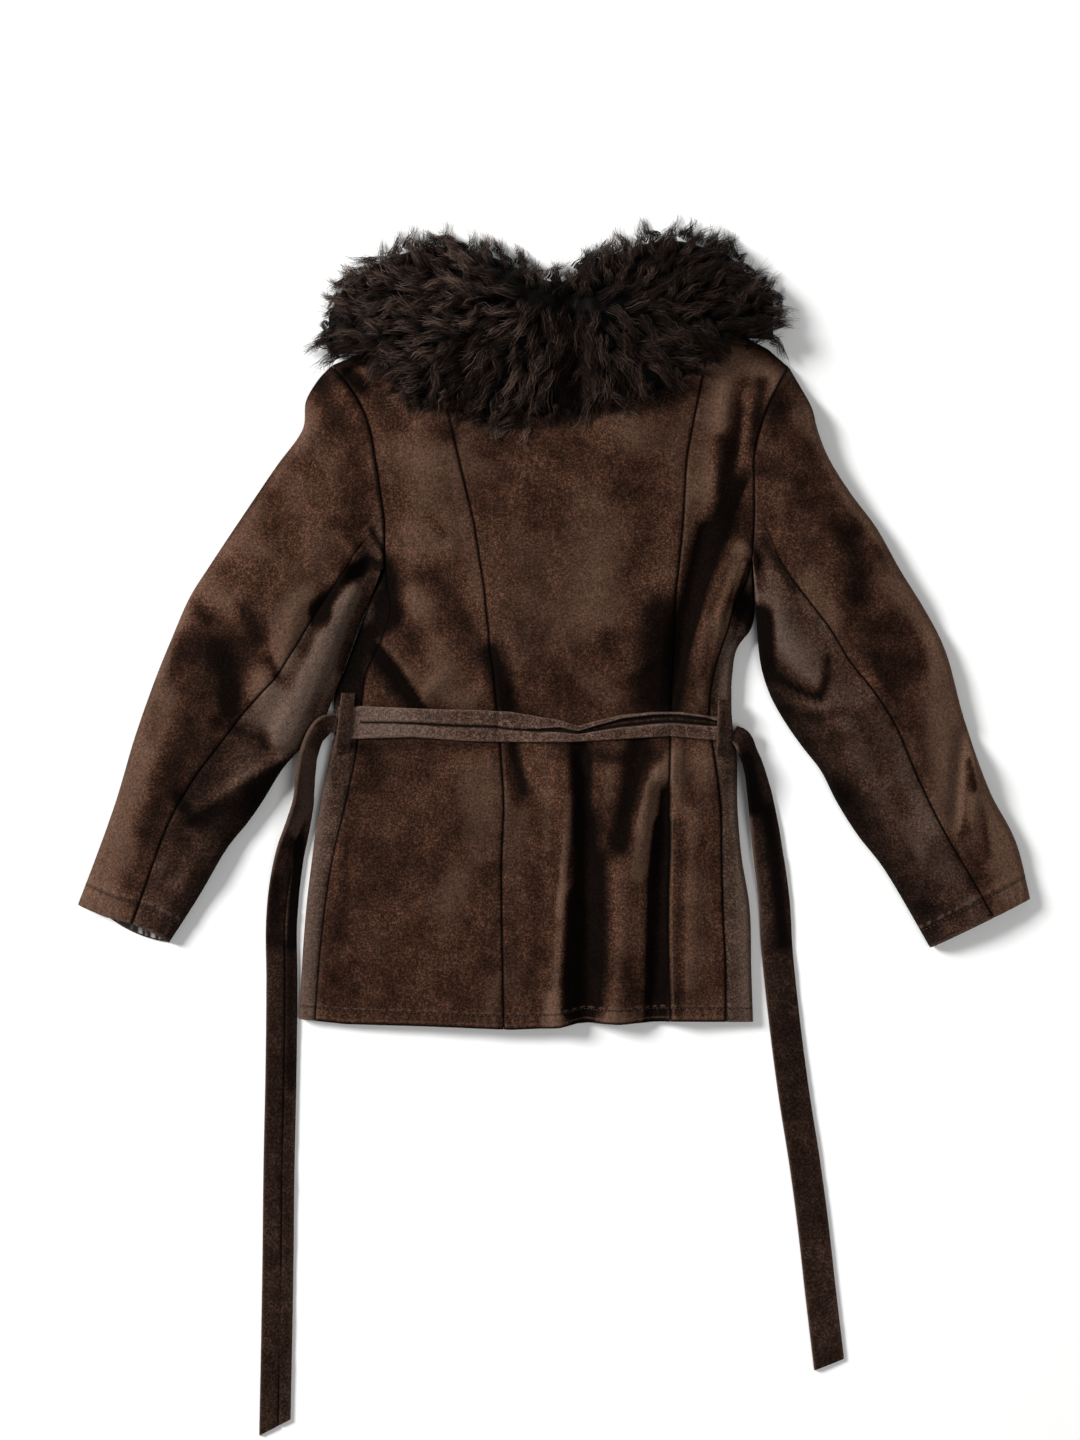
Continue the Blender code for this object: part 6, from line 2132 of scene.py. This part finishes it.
def new_group(name: str, inputs: dict[str, str],
              outputs: dict[str, str]) -> tuple[NodeSheet, Sockets, bpy.types.Node]:
    """Make an empty shader node group with its sockets.

    Args:
        name: the group's name.
        inputs: what each input holds, by name: Vector, Color or Float.
        outputs: the same for each output.

    Returns:
        The sheet to add nodes with, what goes into the group, by name, and its output node.
    """
    tree = bpy.data.node_groups.new(name, "ShaderNodeTree")
    for way, sockets in (("INPUT", inputs), ("OUTPUT", outputs)):
        for label, kind in sockets.items():
            tree.interface.new_socket(name=label, in_out=way, socket_type="NodeSocket" + kind)
    sheet = NodeSheet(tree)
    return sheet, tree.nodes.new("NodeGroupInput").outputs, tree.nodes.new("NodeGroupOutput")


def new_material(name: str) -> tuple[bpy.types.Material, NodeSheet, bpy.types.Node]:
    """Make a material.

    Args:
        name: its name.

    Returns:
        The material, the sheet to add nodes with and its Principled shader.
    """
    material = bpy.data.materials.new(name)
    material.use_nodes = True
    return material, NodeSheet(material.node_tree), material.node_tree.nodes["Principled BSDF"]


def napped_hide_group() -> bpy.types.NodeTree:
    """Colour and height of napped hide: broad brushed patches, soft blotches, fine flecks and grain.

    Returns:
        The group's node tree.
    """
    sheet, given, end = new_group(
        "napped_hide",
        {"Place": "Vector", "Dark": "Color", "Middle": "Color", "Light": "Color", "Patches": "Float"},
        {"Colour": "Color", "Height": "Float", "Rub": "Float"})
    place = given["Place"]
    warp = sheet.add("ShaderNodeTexNoise", Vector=place, Scale=22.0, Detail=2.0)
    shift = sheet.add("ShaderNodeVectorMath", operation="MULTIPLY_ADD")
    for socket, value in zip(shift.inputs, (warp.outputs["Color"], (0.016, 0.016, 0.016), place)):
        sheet.feed(socket, value)
    bent = shift.outputs["Vector"]
    broad = sheet.ranged(sheet.noise(bent, 13.0, 3.0, 0.5), 0.34, 0.66)
    blotch = sheet.ranged(sheet.noise(bent, 48.0, 4.0, 0.6), 0.32, 0.70)
    stroke = sheet.add("ShaderNodeMapping", vector_type="POINT", Vector=bent, Scale=(1.0, 0.34, 1.0),
                       Rotation=(0.0, 0.0, math.radians(24)))
    brushed = sheet.ranged(sheet.noise(stroke.outputs["Vector"], 150.0, 4.0, 0.6), 0.30, 0.72)
    fleck = sheet.ranged(sheet.noise(place, 430.0, 4.0, 0.80), 0.33, 0.69)
    grain = sheet.ranged(sheet.noise(place, 1000.0, 2.0, 0.6), 0.25, 0.75)
    patchy = sheet.times(broad, given["Patches"])
    share = sheet.plus(sheet.times(blotch, 0.40), sheet.times(brushed, 0.26))
    share = sheet.plus(share, sheet.times(patchy, 0.44))
    lower = sheet.blend(sheet.ranged(share, 0.12, 0.56),
                        given["Dark"], given["Middle"])
    tint = sheet.blend(sheet.ranged(share, 0.52, 1.02, 0.0, 0.85), lower, given["Light"])
    rub = sheet.plus(sheet.times(fleck, 0.58), sheet.times(grain, 0.42))
    shade = sheet.plus(sheet.ranged(rub, 0.25, 0.50, 0.34, 0.78), sheet.ranged(rub, 0.48, 0.72, 0.0, 1.9))
    grey = sheet.add("ShaderNodeCombineColor", Red=shade, Green=shade, Blue=shade)
    sheet.feed(end.inputs["Colour"], sheet.blend(1.0, tint, grey.outputs["Color"], "MULTIPLY"))
    sheet.fill(end, Height=sheet.plus(rub, sheet.times(brushed, 0.5)), Rub=rub)
    return sheet.tree


def seams_and_painted_light_group() -> bpy.types.NodeTree:
    """Colour of sewn hide: darker seams, painted shade in valleys, painted highlights and wear on ridges
    and edges.

    Returns:
        The group's node tree.
    """
    sheet, given, end = new_group(
        "seams_and_painted_light",
        {"Colour": "Color", "Pale": "Color", "Seam": "Float", "Worn": "Float", "Edge": "Float",
         "Rub": "Float"},
        {"Colour": "Color"})
    # Painted shade: the colour darkens to near black where the value marks a hollow.
    valley = sheet.ranged(given["Worn"], 0.02, 0.49, 0.95, 0.0)
    deep = sheet.blend(valley, given["Colour"], SOIL_AND_SHADE)
    # Painted highlights on ridges, together with rubbed places.
    ridge = sheet.times(sheet.ranged(given["Worn"], 0.52, 1.0, 0.0, 1.25), given["Rub"])
    ridge_lit = sheet.blend(ridge, deep, given["Pale"])
    # Painted highlights along rims, hems and the belt's lips.
    rim = sheet.times(sheet.ranged(given["Edge"], 0.3, 1.0, 0.0, 0.75), given["Rub"])
    rim_lit = sheet.blend(rim, ridge_lit, given["Pale"])
    # Dark seam lines.
    line = sheet.ranged(given["Seam"], 0.25, 0.9, 0.0, 0.97)
    sheet.feed(end.inputs["Colour"], sheet.blend(line, rim_lit, SOIL_AND_SHADE))
    return sheet.tree


def fur_group() -> bpy.types.NodeTree:
    """Colour of a lock: near black at its root, partly painted shade deep in the pile; browner to its tip,
    where the palest strands are partly painted highlights; each strand a little different.

    Returns:
        The group's node tree.
    """
    sheet, given, end = new_group(
        "fur_tint",
        {"Tone": "Float", "Along": "Float", "Root": "Color", "Body": "Color", "Tip": "Color"},
        {"Colour": "Color"})
    grown = sheet.ranged(given["Along"], 0.02, 0.62)
    body = sheet.blend(grown, given["Root"], given["Body"])
    tip = sheet.times(sheet.ranged(given["Tone"], 0.40, 1.0),
                       sheet.ranged(given["Along"], 0.3, 1.0, 0.15, 1.0))
    sheet.feed(end.inputs["Colour"], sheet.blend(tip, body, given["Tip"]))
    return sheet.tree


@dataclass(frozen=True)
class HideFinish:
    """Napped hide: its colours, how patchy it is and how strong its grain stands."""

    name: str
    dark: Colour
    middle: Colour
    light: Colour
    # the pale colour is painted highlights on ridges and rims, and rubbed places
    pale: Colour
    patches: float = 1.0
    grain: float = 0.55
    roughness: float = 0.93
    sheen: float = 0.035
    sheen_tint: Colour = (0.60, 0.36, 0.25)

    def material(self, napped: bpy.types.NodeTree, seams_and_light: bpy.types.NodeTree) -> bpy.types.Material:
        """The finish as a material that reads the piece's sewn lines, painted light and wear.

        Args:
            napped: the group that colours the nap.
            seams_and_light: the group that darkens the seams and paints shade, highlights and wear.

        Returns:
            The material.
        """
        material, sheet, shader = new_material(self.name)
        place = sheet.add("ShaderNodeTexCoord").outputs["Object"]
        nap = sheet.add("ShaderNodeGroup", node_tree=napped, Place=place, Dark=self.dark,
                        Middle=self.middle, Light=self.light, Patches=self.patches)
        worn = sheet.add("ShaderNodeGroup", node_tree=seams_and_light, Pale=self.pale,
                         Colour=nap.outputs["Colour"], Rub=nap.outputs["Rub"])
        for label in ("Seam", "Worn", "Edge"):
            sheet.feed(worn.inputs[label], sheet.measure(label.lower()))
        bump = sheet.add("ShaderNodeBump", Strength=self.grain, Distance=NAP_DEPTH,
                         Height=nap.outputs["Height"])
        # The sheen fades out where the value paints shade in the hollows.
        lying = sheet.ranged(sheet.measure("worn"), 0.04, 0.45, 0.0, self.sheen)
        sheet.fill(shader, Base_Color=worn.outputs["Colour"], Normal=bump.outputs["Normal"],
                   Roughness=self.roughness, Specular_IOR_Level=0.04, Sheen_Weight=lying,
                   Sheen_Roughness=0.6, Sheen_Tint=self.sheen_tint)
        return material


@dataclass(frozen=True)
class FurFinish:
    """Long wool: root, body and tip colours and a soft gloss."""

    name: str
    root: Colour
    body: Colour
    tip: Colour
    roughness: float = 0.6

    def material(self, tint: bpy.types.NodeTree) -> bpy.types.Material:
        """The finish as a material that reads each strand's tone and the place along it.

        Args:
            tint: the group that colours a lock.

        Returns:
            The material.
        """
        material, sheet, shader = new_material(self.name)
        mix = sheet.add("ShaderNodeGroup", node_tree=tint, Root=self.root, Body=self.body, Tip=self.tip)
        for label in ("Tone", "Along"):
            sheet.feed(mix.inputs[label], sheet.measure(label.lower()))
        sheet.fill(shader, Base_Color=mix.outputs["Colour"], Roughness=self.roughness,
                   Specular_IOR_Level=0.06, Sheen_Weight=0.02, Sheen_Tint=(0.6, 0.5, 0.45))
        return material


@dataclass(frozen=True)
class SatinFinish:
    """Dark satin with soft highlights on its crinkles."""

    name: str
    colour: Colour
    pale: Colour

    def material(self) -> bpy.types.Material:
        """The finish as a material that paints highlights where the points' crinkle value is high.

        Returns:
            The material.
        """
        material, sheet, shader = new_material(self.name)
        share = sheet.ranged(sheet.measure("crinkle"), 0.25, 1.0)
        sheet.fill(shader, Base_Color=sheet.blend(share, self.colour, self.pale), Roughness=0.3,
                   Specular_IOR_Level=0.6)
        return material


SUEDE = HideFinish("suede", (0.0120, 0.0047, 0.0026), (0.0350, 0.0152, 0.0090), (0.0740, 0.0345, 0.0210),
                   (0.140, 0.080, 0.054))
SUEDE_GREYER = HideFinish("suede_greyer", (0.0130, 0.0064, 0.0042), (0.0370, 0.0208, 0.0145),
                          (0.0720, 0.0440, 0.0320), (0.130, 0.086, 0.066), patches=0.8)
UNDER_SUEDE = HideFinish("under_sleeve_suede", (0.0115, 0.0050, 0.0031), (0.0330, 0.0162, 0.0105),
                         (0.0660, 0.0350, 0.0240), (0.130, 0.088, 0.068))
ROUGH_SIDE = HideFinish("rough_side_suede", (0.0270, 0.0150, 0.0105), (0.0800, 0.0450, 0.0330),
                        (0.200, 0.130, 0.100), (0.290, 0.206, 0.168), patches=0.6, grain=1.4, sheen=0.06)
TAIL_SIDE = HideFinish("belt_end_suede", (0.0085, 0.0038, 0.0024), (0.0190, 0.0096, 0.0066),
                       (0.0430, 0.0232, 0.0160), (0.095, 0.058, 0.044), patches=0.8, grain=0.9)
# The fur's near-black root is partly painted shade, and its pale tip partly painted highlights.
FUR = FurFinish("fur", (0.0010, 0.0006, 0.0004), (0.0150, 0.0082, 0.0058), (0.2700, 0.1720, 0.1320))
# The satin's pale colour is painted highlights.
SATIN = SatinFinish("satin_lining", (0.0030, 0.0024, 0.0020), (0.34, 0.31, 0.29))
THREAD = (0.014, 0.0070, 0.0046)
THREAD_PALE = (0.042, 0.022, 0.015)
FLOOR = (0.93, 0.93, 0.925)
FLOOR_DROP = 0.0004    # the floor lies this far below the coat, in metres
# Each lamp's name, place and width in metres, and strength in watts.
LAMPS = (("main_lamp", (-4.6, 2.1, 3.5), 1.9, 530.0), ("top_lamp", (1.6, -0.6, 4.6), 2.0, 62.0))


def thread_material() -> bpy.types.Material:
    """Dull sewing thread, a little uneven in colour along its twist.

    Returns:
        The material.
    """
    material, sheet, shader = new_material("thread")
    twist = sheet.noise(sheet.add("ShaderNodeTexCoord").outputs["Object"], 900.0, 2.0)
    sheet.fill(shader, Base_Color=sheet.blend(twist, THREAD, THREAD_PALE), Roughness=0.7)
    return material


@dataclass
class Studio:
    """A pale floor, soft light from above and the camera straight over the coat."""

    view_x: float = -14.0
    view_y: float = 112.0
    distance: float = 3400.0
    lens: float = 85.0
    floor_half: float = 6.0
    sky: float = 0.22

    def floor(self) -> None:
        """A wide plain floor."""
        mesh = bpy.data.meshes.new("floor")
        size = self.floor_half
        corners = [(-size, -size, 0), (size, -size, 0), (size, size, 0), (-size, size, 0)]
        mesh.from_pydata(corners, [], [(0, 1, 2, 3)])
        material, sheet, shader = new_material("floor")
        sheet.fill(shader, Base_Color=FLOOR, Roughness=0.9)
        mesh.materials.append(material)
        ground = in_scene("floor", mesh)
        ground.location.z = -FLOOR_DROP

    def lamp(self, name: str, place: tuple[float, float, float], size: float, power: float) -> None:
        """One soft square lamp that faces the middle of the coat.

        Args:
            name: the lamp's name.
            place: where it stands, in metres.
            size: its width in metres.
            power: its strength in watts.
        """
        light = bpy.data.lights.new(name, "AREA")
        light.shape = "SQUARE"
        light.size = size
        light.energy = power
        lamp = in_scene(name, light)
        lamp.location = place
        way = Vector((0.0, 0.05, 0.0)) - Vector(place)
        lamp.rotation_mode = "QUATERNION"
        lamp.rotation_quaternion = way.to_track_quat("-Z", "Y")

    def light(self) -> None:
        """A low main lamp from the left, a weak one from above and a little light all round."""
        for lamp in LAMPS:
            self.lamp(*lamp)
        world = bpy.data.worlds.new("studio")
        world.use_nodes = True
        tree = world.node_tree
        NodeSheet(tree).fill(tree.nodes["Background"], Color=(1.0, 1.0, 1.0), Strength=self.sky)
        bpy.context.scene.world = world
        bpy.context.scene.view_settings.view_transform = "Standard"

    def camera(self) -> None:
        """The camera straight above, with the collar up."""
        data = bpy.data.cameras.new("camera")
        data.lens = self.lens
        data.sensor_width = 36.0
        data.clip_end = 20.0
        camera = in_scene("camera", data)
        camera.location = (self.view_x * MM, self.view_y * MM, self.distance * MM)
        bpy.context.scene.camera = camera


@dataclass
class Coat:
    """The whole coat: its cloth pieces, fur collar, belt and stitches."""

    panels: tuple[BackPanel, ...] = (
        BackPanel("back_left_side", "left_seam", "left_princess", cells=56),
        BackPanel("back_centre", "left_princess", "right_princess", cells=80),
        BackPanel("back_right_side", "right_princess", "right_seam", cells=36, lit_edge=0.8),
    )
    fronts: tuple[FrontPanel, ...] = (
        FrontPanel(Side.LEFT, "front_left", (CLOSURE_RIGHT - 26, CLOSURE_RIGHT - 4, CLOSURE_LEFT),
                   "left_seam", "left", ARMPIT_LEFT),
        FrontPanel(Side.RIGHT, "front_right", (70, 25, CLOSURE_RIGHT), "right_seam", "right", ARMPIT_RIGHT),
    )
    sleeves: tuple[Sleeve, ...] = (
        Sleeve(Side.LEFT, SLEEVE_LEFT, SLEEVE_LEFT_FOLDS, SLEEVE_LEFT_CREASES, SLEEVE_LEFT_SHADES,
               SLEEVE_LEFT_SHADOWS, peek=9.0, seed=41),
        Sleeve(Side.RIGHT, SLEEVE_RIGHT, SLEEVE_RIGHT_FOLDS, SLEEVE_RIGHT_CREASES, SLEEVE_RIGHT_SHADES,
               SLEEVE_RIGHT_SHADOWS, peek=0.0, seed=45),
    )

    def finishes(self) -> None:
        """Make the materials once."""
        napped, seams_and_light, tint = napped_hide_group(), seams_and_painted_light_group(), fur_group()
        self.suede = SUEDE.material(napped, seams_and_light)
        self.greyer = SUEDE_GREYER.material(napped, seams_and_light)
        self.under = UNDER_SUEDE.material(napped, seams_and_light)
        self.rough = ROUGH_SIDE.material(napped, seams_and_light)
        self.tail = TAIL_SIDE.material(napped, seams_and_light)
        self.fur = FUR.material(tint)
        self.satin = SATIN.material()
        self.thread = thread_material()

    def place(self, piece: bpy.types.Object, node: str, slot: str, flat: tuple[float, float],
              area: float, rests_on: Sequence[str], with_pieces: Sequence[object] = ()) -> None:
        """Put a cloth piece in its solid's place and say how it was cut.

        Args:
            piece: the piece; not used.
            node: its solid's name.
            slot: its material slot; not used.
            flat: width and length of its cut, in metres; not used.
            area: area of its cut, in square metres; not used.
            rests_on: names of what it lies on; not used.
            with_pieces: pieces that belong to the same sheet; not used.
        """
        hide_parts(node)

    def body(self) -> None:
        """Back panels and fronts."""
        self.panel_walls = [panel.wall() for panel in self.panels]
        self.front_walls = [front.wall() for front in self.fronts]
        cuts = (((0.19, 0.712), 0.090), ((0.245, 0.722), 0.140), ((0.10, 0.70), 0.044))
        self.stitch_lines = []
        for panel, wall, (flat, area) in zip(self.panels, self.panel_walls, cuts):
            piece = wall_piece(f"{panel.node}_suede", wall, self.suede)
            self.place(piece, panel.node, "suede", flat, area, ["front_left", "front_right"])
            self.stitch_lines.append(self.hem_line(wall))
        for front, wall in zip(self.fronts, self.front_walls):
            piece = wall_piece(f"{front.node}_suede", wall, self.greyer)
            self.place(piece, front.node, "suede_greyer", (0.335, 0.715), 0.155, ["floor"])
            self.stitch_lines.append(self.hem_line(Wall(wall.outer[:, :len(TOP_SHARES)], wall.inner)))

    def hem_line(self, wall: Wall) -> Array:
        """The line of points that the hem's stitches follow.

        Args:
            wall: wall of the piece whose hem is sewn.

        Returns:
            Points of shape (columns, 3).
        """
        height = wall.outer[..., 1] - wall.outer[:1, :, 1]
        columns = np.arange(height.shape[1])
        above = (height < STITCH_IN).sum(axis=0)
        below = above - 1
        part = (STITCH_IN - height[below, columns]) / (height[above, columns] - height[below, columns])
        part = part[:, None]
        return wall.outer[below, columns] * (1 - part) + wall.outer[above, columns] * part

    def arms(self) -> None:
        """Both sleeves, from the armholes' own points, and the lining in the left cuff."""
        yoke = slice(ARMPIT_ROW, None)
        edges = ((self.panel_walls[0].outer[yoke, 0], self.front_walls[0].outer[yoke, WRAP_CELLS]),
                 (self.panel_walls[2].outer[yoke, -1], self.front_walls[1].outer[yoke, WRAP_CELLS]))
        for sleeve, edge, side, under_area in zip(self.sleeves, edges, ("left", "right"), (0.040, 0.044)):
            ring = sleeve.armhole_ring(*edge)
            top, under = sleeve.walls(ring)
            piece = wall_piece(f"sleeve_{side}_top_suede", top, self.suede)
            self.place(piece, f"sleeve_{side}_top", "suede", (0.27, 0.62), 0.125, ["floor"])
            piece = wall_piece(f"sleeve_{side}_under_suede", under, self.under)
            self.place(piece, f"sleeve_{side}_under", "suede_greyer", (0.10, 0.47), under_area, ["floor"])
            self.stitch_lines.append(self.cuff_line(sleeve, top.outer[:, -TOP_CELLS - 1:]))
            self.stitch_lines.append(self.cuff_line(sleeve, under.outer[:, :UNDER_CELLS]))
            if side == "left":
                lining = wall_piece("cuff_lining_satin", sleeve.lining(ring), self.satin)
                self.place(lining, "cuff_lining_left", "satin_lining", (0.115, 0.092), 0.0098,
                           ["sleeve_left_top_suede"])

    def cuff_line(self, sleeve: Sleeve, upper: Array) -> Array:
        """The line of points that a cuff's stitches follow."""
        row = np.argmin(np.abs((1 - SLEEVE_ALONG) * sleeve.length - STITCH_IN + 1.0))
        return upper[row]

    def belt(self) -> None:
        """The belt across the back, its two ends and the loops."""
        waist = WaistBelt().wall((self.front_walls[0], self.front_walls[1]), self.panel_walls)
        piece = wall_piece("belt_waist_band", waist, self.rough, sharp=BAND_SHARP)
        self.place(piece, "belt_waist", "rough_side_suede", (0.40, 0.034), 0.0130, ["back_centre_suede"])
        tails = (BeltTail(TAIL_LEFT, Side.LEFT, slant=-17.0, slit_place=0.60, slit_from=150.0,
                          join_y=-80.0, seed=61, shades=TAIL_LEFT_SHADES),
                 BeltTail(TAIL_RIGHT, Side.RIGHT, slant=-8.0, slit_place=0.93, slit_from=3000.0,
                          join_y=-26.0, seed=65, shades=TAIL_RIGHT_SHADES))
        for tail, side, length in zip(tails, ("left", "right"), (0.76, 0.69)):
            piece = wall_piece(f"belt_tail_{side}_band", tail.wall(), self.tail, sharp=BAND_SHARP)
            self.place(piece, f"belt_tail_{side}", "rough_side_suede", (0.034, length), 0.033 * length,
                       ["floor"])
        for side, size, seed in (("left", LOOP_LEFT, 81), ("right", LOOP_RIGHT, 83)):
            loop = BeltLoop(size, self.belt_height(waist, size), seed)
            piece = wall_piece(f"belt_loop_{side}_strap", loop.wall(), self.tail, sharp=BAND_SHARP)
            self.place(piece, f"belt_loop_{side}", "suede", (0.016, 0.066), 0.00095, ["belt_waist_band"])

    def belt_height(self, waist: Wall, size: LoopSize) -> float:
        """Highest point of the belt below a loop.

        Args:
            waist: the belt's wall.
            size: the loop's place and width.

        Returns:
            The height in millimetres.
        """
        middle = 0.5 * (size.top_x + size.foot_x)
        near = np.abs(waist.outer[..., 0] - middle) < 0.5 * size.width + 3
        return float(waist.outer[..., 2][near].max())

    def collar(self) -> None:
        """The fur collar."""
        fur = FurCollar()
        skin = wall_piece("collar_skin", fur.skin(), self.fur, sharp=ALL_SMOOTH)
        locks = fur.pile_pieces(self.fur, FUR_BORDERS)
        self.place(skin, "collar", "fur", (0.46, 0.21), 0.085, ["back_centre_suede", "floor"], locks)

    def stitches(self) -> None:
        """The topstitching of hem and cuffs, as one piece."""
        points, faces = Topstitching().rows(self.stitch_lines)
        piece = new_piece("topstitching", points, faces, self.thread, {}, sharp=ALL_SMOOTH)


def main() -> None:
    """Build the coat and its studio, and report each piece."""
    logging.basicConfig(level=logging.INFO, format="%(message)s")
    studio = Studio()
    studio.camera()
    studio.floor()
    studio.light()
    coat = Coat()
    coat.finishes()
    for step in (coat.body, coat.arms, coat.belt, coat.collar, coat.stitches):
        step()


if __name__ == "__main__":
    main()
